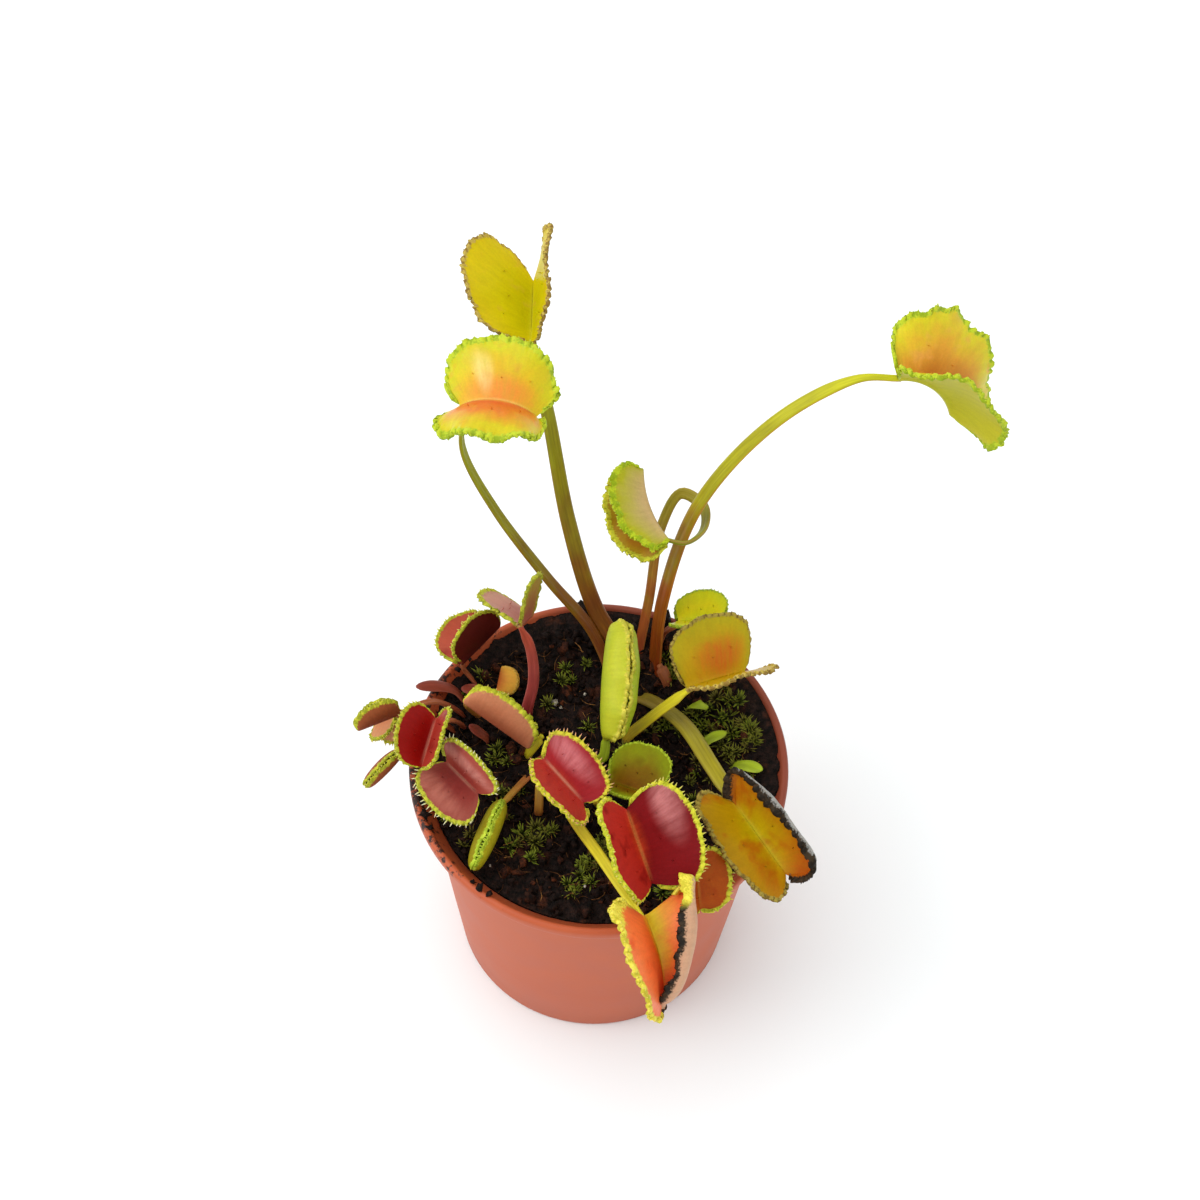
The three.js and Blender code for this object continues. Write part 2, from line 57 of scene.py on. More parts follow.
# %% Colour and node tools
def linear(colour):
    """An sRGB colour such as "#b9593a" as the linear RGBA that a node takes."""
    parts = [int(colour[at : at + 2], 16) / 255 for at in (1, 3, 5)]
    return [part / 12.92 if part <= 0.04045 else ((part + 0.055) / 1.055) ** 2.4 for part in parts] + [1]


def add_node(tree, kind, inputs=None, stops=None, **settings):
    """Adds a node. A socket among the inputs is linked, text is a colour, and stops fill a ramp."""
    made = tree.nodes.new("ShaderNode" + kind)
    for name, value in settings.items():
        setattr(made, name, value)
    for name, value in (inputs or {}).items():
        if isinstance(value, bpy.types.NodeSocket):
            tree.links.new(value, made.inputs[name])
        else:
            made.inputs[name].default_value = linear(value) if isinstance(value, str) else value
    for count, (place, colour) in enumerate(stops or []):
        points = made.color_ramp.elements
        point = points[count] if count < 2 else points.new(place)
        point.position = place
        point.color = linear(colour)
    return made


def new_material(name, roughness, ior=1.45, shine=0.5):
    """A material with its node tree and its shader. shine is the strength of what the surface mirrors."""
    material = bpy.data.materials.new(name)
    material.use_nodes = True
    shader = material.node_tree.nodes["Principled BSDF"]
    shader.inputs["Roughness"].default_value = roughness
    shader.inputs["IOR"].default_value = ior
    shader.inputs["Specular IOR Level"].default_value = shine
    return material, material.node_tree, shader


# %% Mesh tools
def read_points(piece):
    """The mesh's points, as they are in the mesh."""
    points = np.empty(len(piece.data.vertices) * 3)
    piece.data.vertices.foreach_get("co", points)
    return points.reshape(-1, 3)


def write_points(piece, points, scale=MM):
    """Moves the mesh's points to places in mm, or in metres with a scale of 1."""
    piece.data.vertices.foreach_set("co", (np.asarray(points) * scale).ravel())
    piece.data.update()


def write_attribute(piece, name, values):
    """Keeps a number or a vector with each point, for the material to read."""
    values = np.asarray(values, float)
    vector = values.ndim == 2
    kept = piece.data.attributes.get(name)
    if kept is None:
        kept = piece.data.attributes.new(name, "FLOAT_VECTOR" if vector else "FLOAT", "POINT")
    kept.data.foreach_set("vector" if vector else "value", values.ravel())


def unit(vectors):
    return vectors / np.maximum(np.linalg.norm(vectors, axis=1, keepdims=True), 1e-9)


def distances(points):
    """How far along their line each of the points is."""
    return np.concatenate([[0], np.cumsum(np.linalg.norm(np.diff(points, axis=0), axis=1))])


def ease(value, start, span):
    """Rises smoothly from 0 at start to 1 over span."""
    share = np.clip((value - start) / span, 0, 1)
    return share * share * (3 - 2 * share)


def apply_modifiers(piece):
    """Makes the piece's modifiers part of its mesh, in their order."""
    bpy.context.view_layer.objects.active = piece
    for modifier in [modifier.name for modifier in piece.modifiers]:
        bpy.ops.object.modifier_apply(modifier=modifier)


def join(pieces):
    """Makes several pieces one mesh, which keeps the first one's name."""
    bpy.ops.object.select_all(action="DESELECT")
    for piece in pieces:
        piece.select_set(True)
    bpy.context.view_layer.objects.active = pieces[0]
    bpy.ops.object.join()
    bpy.ops.object.select_all(action="DESELECT")
    return pieces[0]


def finish_piece(piece, material, node=None, smooth=True):
    """Gives a piece its material, its shading and its body, and hides the CAD node that it stands for."""
    piece.data.materials.clear()
    piece.data.materials.append(material)
    piece.data.polygons.foreach_set("use_smooth", [smooth] * len(piece.data.polygons))
    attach(piece, "root")
    if node:
        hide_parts(node)
    bpy.ops.object.select_all(action="DESELECT")


# %% [markdown]
# ## Camera
# The photographer stood close in front of the pot and looked steeply down. The view line dips 56.56
# degrees below the horizon, and the picture is turned by 2.28 degrees about it. The frame is square.

# %% Place the camera
CAMERA_PLACE = Vector((-1.211, -273.01, 549.816)) * MM
VIEW_DIP = math.radians(56.56)
VIEW_ROLL = math.radians(2.28)
bpy.ops.object.camera_add()
camera = bpy.context.object
tilt = Matrix.Rotation(math.pi / 2 - VIEW_DIP, 4, "X") @ Matrix.Rotation(VIEW_ROLL, 4, "Z")
camera.matrix_world = Matrix.Translation(CAMERA_PLACE) @ tilt
camera.data.sensor_width = 36
camera.data.lens = 73.76
camera.data.clip_start = 0.01
bpy.context.scene.camera = camera
print("camera at", [round(value, 3) for value in camera.location])

# %% [markdown]
# ## Light and floor
# The plant stands on seamless white paper. Most of the light comes evenly from all round, so a white
# world gives it. A very wide light from the left shades the pot and makes the pale shadow on the right,
# and a smaller one draws the highlights on the glossy lobes. Both are Sun lamps, which light the whole
# floor alike, so that the paper stays white to its edges. The wider a Sun's angle, the softer its shadow.

# %% Make the light and the floor
WORLD_LIGHT = 0.94
SOFT_LIGHTS = [("window", 1.25, 80, (-0.5, 0.1, 0.8)), ("lamp", 0.42, 24, (-0.62, -0.14, 0.77))]
world = bpy.data.worlds.new("Studio white")
world.use_nodes = True
world.node_tree.nodes["Background"].inputs["Color"].default_value = linear("#ffffff")
world.node_tree.nodes["Background"].inputs["Strength"].default_value = WORLD_LIGHT
bpy.context.scene.world = world
bpy.context.scene.view_settings.view_transform = "Standard"

for name, strength, spread, place in SOFT_LIGHTS:
    bpy.ops.object.light_add(type="SUN", location=place)
    sun = bpy.context.object
    sun.name = name
    sun.data.energy = strength
    sun.data.angle = math.radians(spread)
    sun.rotation_euler = sun.location.to_track_quat("Z", "Y").to_euler()

bpy.ops.mesh.primitive_plane_add(size=8)
floor = bpy.context.object
floor.name = "studio_floor"
paper, tree, shader = new_material("Matte paper, seamless roll", roughness=0.9)
place = add_node(tree, "TexCoord").outputs["Object"]
mottle = add_node(tree, "TexNoise", {"Vector": place, "Scale": 3.0}).outputs[0]
tint = add_node(tree, "ValToRGB", {0: mottle}, stops=[(0.3, "#f0f5f6"), (0.7, "#f3f8f9")])
tree.links.new(tint.outputs[0], shader.inputs["Base Color"])
floor.data.materials.append(paper)
print("floor and lights are in place")

# %% [markdown]
# ## Pot
# The pot is thin terracotta-coloured polypropylene, made in a mould, with a rolled lip. It is the shape
# of a body turned on a lathe, so a circle the size of its foot is drawn up ring by ring: each step is an
# extrusion and a scaling, as by hand. Round cutters then take the drain holes out of the floor.

# %% Draw up the pot
POT_HEIGHT = 71
LIP_RADIUS = 42.5
WALL_TOP_RADIUS = 38.9
FOOT_RADIUS = 32.5
WALL = 0.9
FLOOR = 1.4
POT_SIDES = 144
LIP_UNDERSIDE = 68
SLOPE = (WALL_TOP_RADIUS - FOOT_RADIUS) / LIP_UNDERSIDE


def inner_radius(height):
    return FOOT_RADIUS + SLOPE * height - WALL


POT_RINGS = [
    (FOOT_RADIUS - 0.3, 0.25), (FOOT_RADIUS, 0.9), (FOOT_RADIUS + SLOPE * 20, 20),
    (FOOT_RADIUS + SLOPE * 40, 40), (FOOT_RADIUS + SLOPE * 62, 62), (WALL_TOP_RADIUS - 0.05, 67.2),
    (WALL_TOP_RADIUS + 0.25, 67.8), (WALL_TOP_RADIUS + 0.8, 68.0), (LIP_RADIUS - 0.5, 68.1),
    (LIP_RADIUS - 0.12, 68.25), (LIP_RADIUS, 68.6), (LIP_RADIUS, 70.1), (LIP_RADIUS - 0.15, 70.6),
    (LIP_RADIUS - 0.5, 70.92), (LIP_RADIUS - 0.9, POT_HEIGHT), (LIP_RADIUS - 1.3, 70.92),
    (LIP_RADIUS - 1.65, 70.6), (LIP_RADIUS - 2.0, 69.8), (inner_radius(66.5) + 0.1, 66.5),
    (inner_radius(50), 50), (inner_radius(25), 25), (inner_radius(FLOOR + 1), FLOOR + 1),
    (inner_radius(FLOOR) - 1, FLOOR),
]
bpy.ops.mesh.primitive_circle_add(vertices=POT_SIDES, radius=(FOOT_RADIUS - 1) * MM, fill_type="NGON")
pot = bpy.context.object
pot.name = "nursery_pot"
bpy.ops.object.mode_set(mode="EDIT")
bpy.ops.mesh.select_all(action="SELECT")
bpy.ops.mesh.flip_normals()
bpy.ops.mesh.select_mode(type="EDGE")
bpy.ops.mesh.region_to_loop()
radius, height = FOOT_RADIUS - 1, 0
for next_radius, next_height in POT_RINGS:
    bpy.ops.mesh.extrude_region_move(
        TRANSFORM_OT_translate={"value": (0, 0, (next_height - height) * MM)}
    )
    share = next_radius / radius
    bpy.ops.transform.resize(value=(share, share, 1), center_override=(0, 0, next_height * MM))
    radius, height = next_radius, next_height
bpy.ops.mesh.edge_face_add()
bpy.ops.mesh.select_all(action="SELECT")
bpy.ops.mesh.normals_make_consistent(inside=False)
bpy.ops.object.mode_set(mode="OBJECT")
print("pot:", len(pot.data.polygons), "faces")

# %% Cut the drain holes
DRAIN_HOLES = 6
DRAIN_RADIUS = 1.8
DRAIN_CIRCLE = 22
cutters = []
for hole in range(DRAIN_HOLES):
    turn = 2 * math.pi * hole / DRAIN_HOLES
    place = (DRAIN_CIRCLE * math.cos(turn) * MM, DRAIN_CIRCLE * math.sin(turn) * MM, FLOOR / 2 * MM)
    bpy.ops.mesh.primitive_cylinder_add(
        vertices=32, radius=DRAIN_RADIUS * MM, depth=3 * FLOOR * MM, location=place
    )
    cutters.append(bpy.context.object)
cutter = join(cutters)
cut = pot.modifiers.new("Drain holes", "BOOLEAN")
cut.object = cutter
cut.operation = "DIFFERENCE"
cut.solver = "EXACT"
apply_modifiers(pot)
bpy.data.objects.remove(cutter)
print("drain holes cut:", DRAIN_HOLES)

# %% [markdown]
# ## Pot material
# Moulded polypropylene is a little waxy: its highlights are broad and soft, its colour is even, and only
# a faint mottling from the mould shows. The inside of the wall is darkened as painted shade, and so are the
# lip and the wall just under it on the back right, away from the lights. Wet peat has left grains and
# smears on the lip, more on the left, so soil colour is mixed in by height and by a patchy noise.

# %% Make the pot's plastic
SHADED_SIDE = (0.75, 0.66, 0)


def pot_plastic():
    """An even plastic, with painted shade inside the wall and on the lip's side away from the lights, and
    soil by height and by noise.
    """
    material, tree, shader = new_material("Polypropylene, moulded, terracotta", 0.5, 1.49, shine=0.35)
    place = add_node(tree, "TexCoord").outputs["Object"]
    x, y, z = add_node(tree, "SeparateXYZ", {0: place}).outputs
    mottle = add_node(tree, "TexNoise", {"Vector": place, "Scale": 1 / (9 * MM), "Detail": 3.0}).outputs[0]
    plain = add_node(tree, "ValToRGB", {0: mottle}, stops=[(0.3, "#b1502b"), (0.7, "#b7562f")]).outputs[0]

    flat = add_node(tree, "CombineXYZ", {0: x, 1: y}).outputs[0]
    radius = add_node(tree, "VectorMath", {0: flat}, operation="LENGTH").outputs["Value"]
    wall = add_node(tree, "MapRange", {0: z, 1: 0.0, 2: LIP_UNDERSIDE * MM, 3: (FOOT_RADIUS - 0.5) * MM,
                                       4: (WALL_TOP_RADIUS - 0.6) * MM}).outputs[0]
    depth = add_node(tree, "Math", {0: wall, 1: radius}, operation="SUBTRACT").outputs[0]
    inner = add_node(tree, "MapRange", {0: depth, 1: 0.0, 2: 0.1 * MM}).outputs[0]
    # Painted shade: the inside of the wall is darker than the outside.
    shaded = add_node(tree, "Mix", {0: inner, 6: plain, 7: "#7d3222"}, data_type="RGBA").outputs[2]

    # Painted shade: the lip and the wall just under it are darker on the back right, away from the lights.
    turned = add_node(tree, "VectorMath", {0: place, 1: SHADED_SIDE}, operation="DOT_PRODUCT").outputs["Value"]
    far = add_node(tree, "MapRange", {0: turned, 1: 8 * MM, 2: 26 * MM, 3: 0.0, 4: 0.85}).outputs[0]
    on_lip = add_node(tree, "MapRange", {0: z, 1: 66 * MM, 2: 68.5 * MM}).outputs[0]
    side_shade = add_node(tree, "Math", {0: far, 1: on_lip}, operation="MULTIPLY").outputs[0]
    wet = add_node(tree, "Mix", {0: side_shade, 6: shaded, 7: "#7a3624"}, data_type="RGBA").outputs[2]

    grains = add_node(tree, "TexNoise", {"Vector": place, "Scale": 1 / (1.6 * MM), "Detail": 6.0,
                                         "Roughness": 0.7}).outputs[0]
    high = add_node(tree, "MapRange", {0: z, 1: 62 * MM, 2: 70.5 * MM, 3: -0.3, 4: 0.1}).outputs[0]
    left = add_node(tree, "MapRange", {0: x, 1: -20 * MM, 2: -42 * MM, 3: -0.12, 4: 0.12}).outputs[0]
    near = add_node(tree, "Math", {0: high, 1: left}, operation="ADD").outputs[0]
    likely = add_node(tree, "Math", {0: near, 1: grains}, operation="ADD").outputs[0]
    soil = add_node(tree, "MapRange", {0: likely, 1: 0.62, 2: 0.70}).outputs[0]
    dirty = add_node(tree, "Mix", {0: soil, 6: wet, 7: "#2c1710"}, data_type="RGBA").outputs[2]
    tree.links.new(dirty, shader.inputs["Base Color"])

    rough = add_node(tree, "MapRange", {0: mottle, 3: 0.42, 4: 0.56}).outputs[0]
    tree.links.new(rough, shader.inputs["Roughness"])
    grain = add_node(tree, "TexNoise", {"Vector": place, "Scale": 1 / (0.5 * MM), "Detail": 2.0}).outputs[0]
    bump = add_node(tree, "Bump", {"Height": grain, "Strength": 0.08, "Distance": 0.1 * MM})
    tree.links.new(bump.outputs[0], shader.inputs["Normal"])
    return material


finish_piece(pot, pot_plastic(), "pot")
bpy.context.view_layer.objects.active = pot
bpy.ops.object.shade_smooth_by_angle(angle=math.radians(40))
print("the pot has its plastic")

# %% [markdown]
# ## Peat
# The pot is filled with peat to a little under the lip, and the filling is banked up against the wall in
# places. A square grid is pressed into a disc, each point is lifted by a sum of waves and noise, and the
# edge is then drawn down to the floor of the pot, so the plug is a closed body like the real one.

# %% Shape the peat
PEAT_LEVEL = 65
BANK_RISE = 3.4
BANK_SIDE = math.radians(60)
WALL_RISE = 1.4
PEAT_HIGHEST = 70.4
PEAT_RADIUS = inner_radius(PEAT_LEVEL) - 0.15
PEAT_GRID = 170


def peat_top(x, y):
    """Height of the peat's surface in mm over points x, y in mm."""
    x, y = np.asarray(x, float), np.asarray(y, float)
    lumps = np.sin(0.31 * x + 0.5) * np.cos(0.27 * y) + 0.5 * np.sin(0.73 * x + 0.61 * y + 1)
    climb = ease(np.hypot(x, y), 18, 18)
    side = 0.65 + 0.35 * np.cos(np.arctan2(y, x) - BANK_SIDE)
    height = PEAT_LEVEL + 0.9 * lumps * (1 - 0.5 * climb) + BANK_RISE * climb * side
    at_wall = np.clip((np.hypot(x, y) - PEAT_RADIUS + 5) / 5, 0, 1) ** 2
    height = height + WALL_RISE * at_wall * (1.2 + 0.9 * np.cos(np.arctan2(y, x) - BANK_SIDE))
    rough = [noise.fractal(Vector((a * 0.4, b * 0.4, 3)), 0.6, 2.1, 5) for a, b in zip(x.flat, y.flat)]
    return np.minimum(height + 0.6 * np.array(rough).reshape(x.shape), PEAT_HIGHEST)


bpy.ops.mesh.primitive_grid_add(x_subdivisions=PEAT_GRID, y_subdivisions=PEAT_GRID, size=2)
peat = bpy.context.object
peat.name = "peat_plug"
square = read_points(peat)
x = PEAT_RADIUS * square[:, 0] * np.sqrt(1 - square[:, 1] ** 2 / 2)
y = PEAT_RADIUS * square[:, 1] * np.sqrt(1 - square[:, 0] ** 2 / 2)
top = peat_top(x, y)
rim = np.clip((np.hypot(x, y) / PEAT_RADIUS - 0.8) / 0.2, 0, 1)
wall_radius = np.interp(top, [66, 66.5, 69.8, 70.6], [PEAT_RADIUS, PEAT_RADIUS + 0.2, 40.3, 40.7])
spread = 1 + rim * (wall_radius / PEAT_RADIUS - 1)
write_points(peat, np.stack([x * spread, y * spread, top], axis=1))
bpy.ops.object.mode_set(mode="EDIT")
bpy.ops.mesh.select_all(action="SELECT")
bpy.ops.mesh.select_mode(type="EDGE")
bpy.ops.mesh.region_to_loop()
edge_radius = wall_radius.max()
for ring_height in (PEAT_LEVEL - 0.5, FLOOR + 0.3):
    ring_radius = inner_radius(ring_height) - 0.4
    bpy.ops.mesh.extrude_region_move(TRANSFORM_OT_translate={"value": (0, 0, 0)})
    share = ring_radius / edge_radius
    bpy.ops.transform.resize(value=(share, share, 0), center_override=(0, 0, ring_height * MM))
    edge_radius = ring_radius
bpy.ops.mesh.edge_face_add()
bpy.ops.mesh.select_all(action="SELECT")
bpy.ops.mesh.normals_make_consistent(inside=False)
bpy.ops.object.mode_set(mode="OBJECT")
print("peat:", len(peat.data.polygons), "faces")

# %% [markdown]
# ## Peat material
# Wet peat is nearly black, with reddish-brown fibre in it and a green film of algae where light falls.
# It is matte in its hollows and glints a little where a grain is wet. Three sizes of noise give the
# colour: lumps of 6 mm, crumbs of 1.5 mm and grains of 0.4 mm.

# %% Make the peat's material
def peat_earth(name, dark, light, rust, rust_share):
    """Peat that is dark or light by its crumbs, with rust coloured lumps."""
    material, tree, shader = new_material(name, 0.8, 1.4, shine=0.25)
    place = add_node(tree, "TexCoord").outputs["Object"]
    lumps = add_node(tree, "TexNoise", {"Vector": place, "Scale": 1 / (6 * MM), "Detail": 3.0}).outputs[0]
    crumbs = add_node(tree, "TexNoise", {"Vector": place, "Scale": 1 / (1.5 * MM), "Detail": 4.0,
                                         "Roughness": 0.65}).outputs[0]
    grains = add_node(tree, "TexNoise", {"Vector": place, "Scale": 1 / (0.4 * MM), "Detail": 2.0}).outputs[0]
    earth = add_node(tree, "ValToRGB", {0: crumbs}, stops=[(0.38, dark), (0.72, light)]).outputs[0]
    reddish = add_node(tree, "MapRange", {0: lumps, 1: 0.66 - rust_share, 2: 0.78 - rust_share}).outputs[0]
    warm = add_node(tree, "Mix", {0: reddish, 6: earth, 7: rust}, data_type="RGBA").outputs[2]
    shade = add_node(tree, "MapRange", {0: grains, 1: 0.3, 2: 0.7, 3: 0.35, 4: 1.25}).outputs[0]
    colour = add_node(tree, "VectorMath", {0: warm, 1: shade}, operation="MULTIPLY").outputs[0]
    tree.links.new(colour, shader.inputs["Base Color"])
    wet = add_node(tree, "MapRange", {0: crumbs, 1: 0.3, 2: 0.7, 3: 0.95, 4: 0.55}).outputs[0]
    tree.links.new(wet, shader.inputs["Roughness"])
    both = add_node(tree, "Math", {0: crumbs, 1: grains}, operation="ADD").outputs[0]
    bump = add_node(tree, "Bump", {"Height": both, "Strength": 0.8, "Distance": 0.5 * MM})
    tree.links.new(bump.outputs[0], shader.inputs["Normal"])
    return material


dark_peat = peat_earth("Peat, wet, milled", "#080402", "#2b140a", "#48220f", 0.08)
finish_piece(peat, dark_peat, "peat")
print("the peat has its material")

# %% [markdown]
# ## Copies of a small shape
# Crumbs, moss leaves, fibres and the teeth of the traps are all small shapes that come again hundreds of
# times. Each is modelled once, with few faces, and its copies are written into one mesh with a turn, a
# size and a place of their own. A number that is the same for a whole copy goes with it as an attribute.

# %% A tool for copies
def copies(name, shape, frames, places, **values):
    """One piece with a copy of shape per frame: three column vectors that turn and scale it, in mm."""
    points = read_points(shape)
    count, size = len(places), len(points)
    placed = np.einsum("nij,kj->nki", frames, points) + places[:, None, :]
    faces = [list(face.vertices) for face in shape.data.polygons]
    mesh = bpy.data.meshes.new(name)
    every = [[corner + size * copy for corner in face] for copy in range(count) for face in faces]
    mesh.from_pydata((placed.reshape(-1, 3) * MM).tolist(), [], every)
    piece = bpy.data.objects.new(name, mesh)
    bpy.context.collection.objects.link(piece)
    for kept, value in values.items():
        write_attribute(piece, kept, np.repeat(value, size, axis=0))
    return piece


def turned_frames(up, sizes, spin):
    """Frames whose third axis is up, turned by spin about it and scaled by sizes."""
    up = unit(up)
    across = unit(np.cross(np.where(np.abs(up[:, 2:]) < 0.9, [[0, 0, 1]], [[1, 0, 0]]), up))
    first = across * np.cos(spin)[:, None] + np.cross(up, across) * np.sin(spin)[:, None]
    second = np.cross(up, first)
    return np.stack([first * sizes[:, :1], second * sizes[:, 1:2], up * sizes[:, 2:3]], axis=2)


def any_spin(count):
    return random.uniform(0, 6, count)


def on_disc(count, radius):
    """Random places on the peat, even over its surface."""
    turn = random.uniform(0, 2 * math.pi, count)
    distance = radius * np.sqrt(random.uniform(0, 1, count))
    return distance * np.cos(turn), distance * np.sin(turn)


def cut_across(heights):
    """Cuts the active piece level at these heights, so that it can bend there."""
    bpy.ops.object.mode_set(mode="EDIT")
    for height in heights:
        bpy.ops.mesh.select_all(action="SELECT")
        bpy.ops.mesh.bisect(plane_co=(0, 0, height), plane_no=(0, 0, 1))
    bpy.ops.object.mode_set(mode="OBJECT")


def bent_cone(name, sides, tip, cut, bend):
    """A cone of height 1 whose foot has radius 1, cut once and bent to one side."""
    bpy.ops.mesh.primitive_cone_add(vertices=sides, radius1=1, radius2=tip, depth=1, location=(0, 0, 0.5))
    cone = bpy.context.object
    cone.name = name
    bpy.ops.object.transform_apply(location=True)
    cut_across([cut])
    points = read_points(cone)
    points[:, 0] += bend * points[:, 2] ** 2
    write_points(cone, points, 1)
    return cone


# %% [markdown]
# ## Crumbs and perlite
# The surface is loose: dark crumbs, some reddish lumps of fibre, and a few white grains of perlite. A
# crumb is a coarse ball whose points are pushed in and out, so that it has corners. Some soil also lies
# on the lip, where it fell when the pot was filled. Thin bent threads are root fibres and old moss.

# %% Scatter the crumbs
SUNK = 0.35


def lump(name, push, seed):
    """A coarse ball of radius 1 with its points pushed in and out."""
    bpy.ops.mesh.primitive_uv_sphere_add(segments=7, ring_count=5, radius=1)
    ball = bpy.context.object
    ball.name = name
    points = read_points(ball)
    shifts = np.array([noise.noise(Vector(point) * 1.3 + Vector((seed, 0, 0))) for point in points])
    write_points(ball, points * (1 + push * shifts[:, None]), 1)
    return ball


def lay_lumps(name, x, y, z, size, proportions, seed):
    """Lumps of these sizes in mm, with their middles at x, y, z and each turned its own way."""
    shape = lump(name + "_shape", 0.9, seed)
    up = random.normal(size=(len(x), 3))
    frames = turned_frames(up, size[:, None] / 2 * proportions, any_spin(len(x)))
    made = copies(name, shape, frames, np.stack([x, y, z], axis=1))
    bpy.data.objects.remove(shape)
    print(name, len(x))
    return made


def scatter_lumps(name, count, smallest, largest, radius, seed):
    x, y = on_disc(count, radius)
    size = smallest * (largest / smallest) ** random.uniform(0, 1, count) ** 1.6
    proportions = random.uniform(0.6, 1.25, (count, 3))
    return lay_lumps(name, x, y, peat_top(x, y) + size / 2 * (1 - 2 * SUNK), size, proportions, seed)


# Soil that lies on the lip: x, y and width in mm.
LIP_SOIL = np.array([(-38.7, -12.4, 1.6), (-37.8, -15.4, 2.2), (-36.5, -18.5, 1.4), (-39.4, -9, 1.0),
                     (-26.3, -31.3, 1.3), (-24.7, -32.7, 2.0), (-22.6, -34, 1.5), (-40.4, 2.5, 1.2),
                     (-5.6, 40.6, 3.0), (-4.4, 40.9, 1.8), (14.2, 38.4, 3.2), (12.6, 39.2, 1.8),
                     (-33, 22.5, 1.5), (-30.5, 25.5, 1.1)])

crumbs = scatter_lumps("peat_crumbs", 1700, 0.6, 2.8, PEAT_RADIUS - 0.6, 1)
x, y, width = LIP_SOIL.T
on_lip = lay_lumps("lip_soil", x, y, POT_HEIGHT - 0.3 + width * 0.3, width, np.array([[1.2, 0.9, 0.8]]), 3)
finish_piece(join([crumbs, on_lip]), dark_peat)
fibre_lumps = scatter_lumps("peat_fibre_lumps", 130, 0.9, 3.4, PEAT_RADIUS - 2, 5)
finish_piece(fibre_lumps, peat_earth("Peat fibre, reddish", "#2a1209", "#6b3416", "#7c3f1a", 0.1))


# %% Scatter the fibres and the perlite
def scatter_fibres(name, count):
    """Root fibres and bits of old sphagnum: thin bent threads that lie across the crumbs."""
    bpy.ops.mesh.primitive_cylinder_add(vertices=4, radius=0.09, depth=1)
    thread = bpy.context.object
    cut_across((-0.3, -0.1, 0.1, 0.3))
    points = read_points(thread)
    points[:, 0] += 1.1 * np.cos(math.pi * points[:, 2]) + 0.35 * np.sin(5 * points[:, 2])
    write_points(thread, points, 1)
    x, y = on_disc(count, PEAT_RADIUS - 2)
    turn = random.uniform(0, 2 * math.pi, count)
    up = np.stack([np.cos(turn), np.sin(turn), random.uniform(-0.2, 0.3, count)], axis=1)
    length = random.uniform(2.5, 8, count)
    sizes = np.stack([random.uniform(0.5, 1.3, count)] * 2 + [length], axis=1)
    places = np.stack([x, y, peat_top(x, y) + random.uniform(0.3, 1.0, count)], axis=1)
    made = copies(name, thread, turned_frames(up, sizes, random.uniform(-0.6, 0.6, count)), places)
    bpy.data.objects.remove(thread)
    print(name, count)
    return made


fibre_brown = peat_earth("Peat thread, dry", "#3a1d0c", "#8a5a2c", "#a9753c", 0.15)
finish_piece(scatter_fibres("peat_threads", 260), fibre_brown)

# Grains of perlite: x, y and radius in mm.
PERLITE = np.array([(-10.6, 18.3, 0.85), (-9.2, 17.2, 0.4), (-3.8, 21.1, 0.45), (-23, -25, 0.35),
                    (8, -14, 0.4), (20, 24, 0.45), (-2, -29, 0.35)])
perlite, tree, shader = new_material("Perlite, expanded", roughness=0.85, ior=1.5)
place = add_node(tree, "TexCoord").outputs["Object"]
pores = add_node(tree, "TexNoise", {"Vector": place, "Scale": 1 / (0.5 * MM), "Detail": 3.0}).outputs[0]
chalk = add_node(tree, "ValToRGB", {0: pores}, stops=[(0.35, "#6a5c4c"), (0.6, "#cfc6b6")])
tree.links.new(chalk.outputs[0], shader.inputs["Base Color"])
x, y, width = PERLITE.T
grain = lump("perlite_shape", 0.7, 9)
frames = turned_frames(np.tile([[0.3, 0.2, 1.0]], (len(x), 1)), width[:, None] * np.array([[1.1, 0.8, 0.8]]),
                       np.arange(float(len(x))))
places = np.stack([x, y, peat_top(x, y) + 0.5], axis=1)
finish_piece(copies("perlite_grains", grain, frames, places), perlite)
bpy.data.objects.remove(grain)
print("perlite grains:", len(x))

# %% [markdown]
# ## Moss
# Moss has come up through the peat in small stars: seen from above, narrow leaves point outwards from
# each shoot, yellow-green at the tip and dark at the foot. A moss leaf is a cone with four sides, made
# flat and bent a little. Every shoot gets thirty of them. The patches lie where the photograph shows them.

# %% Grow the moss
MOSS_LEAVES = 30
# Patches of moss: x, y and radius in mm, and the number of shoots.
MOSS_PATCHES = [(-14.5, -19.6, 4, 9), (-11.4, -15.7, 2, 4), (-1, -23.9, 4, 9), (1.5, -19, 3, 5),
                (-5, -28, 4, 5), (-19.6, -7.2, 4, 6), (-22.4, 3, 3, 4), (31, 19, 5, 16), (34, 9, 4, 14),
                (27, 13, 5, 14), (31, 2, 5, 12), (24, -3, 6, 9), (14, 10, 5, 7), (-30, 20, 4, 6),
                (-26, 27, 4, 5), (-33, -13, 3, 5), (-27, -22, 4, 5), (18, 26, 6, 9), (12, -22, 6, 7),
                (36, 12, 3, 8), (22, 30, 6, 8), (0, 14, 9, 7), (-8, 30, 9, 5)]


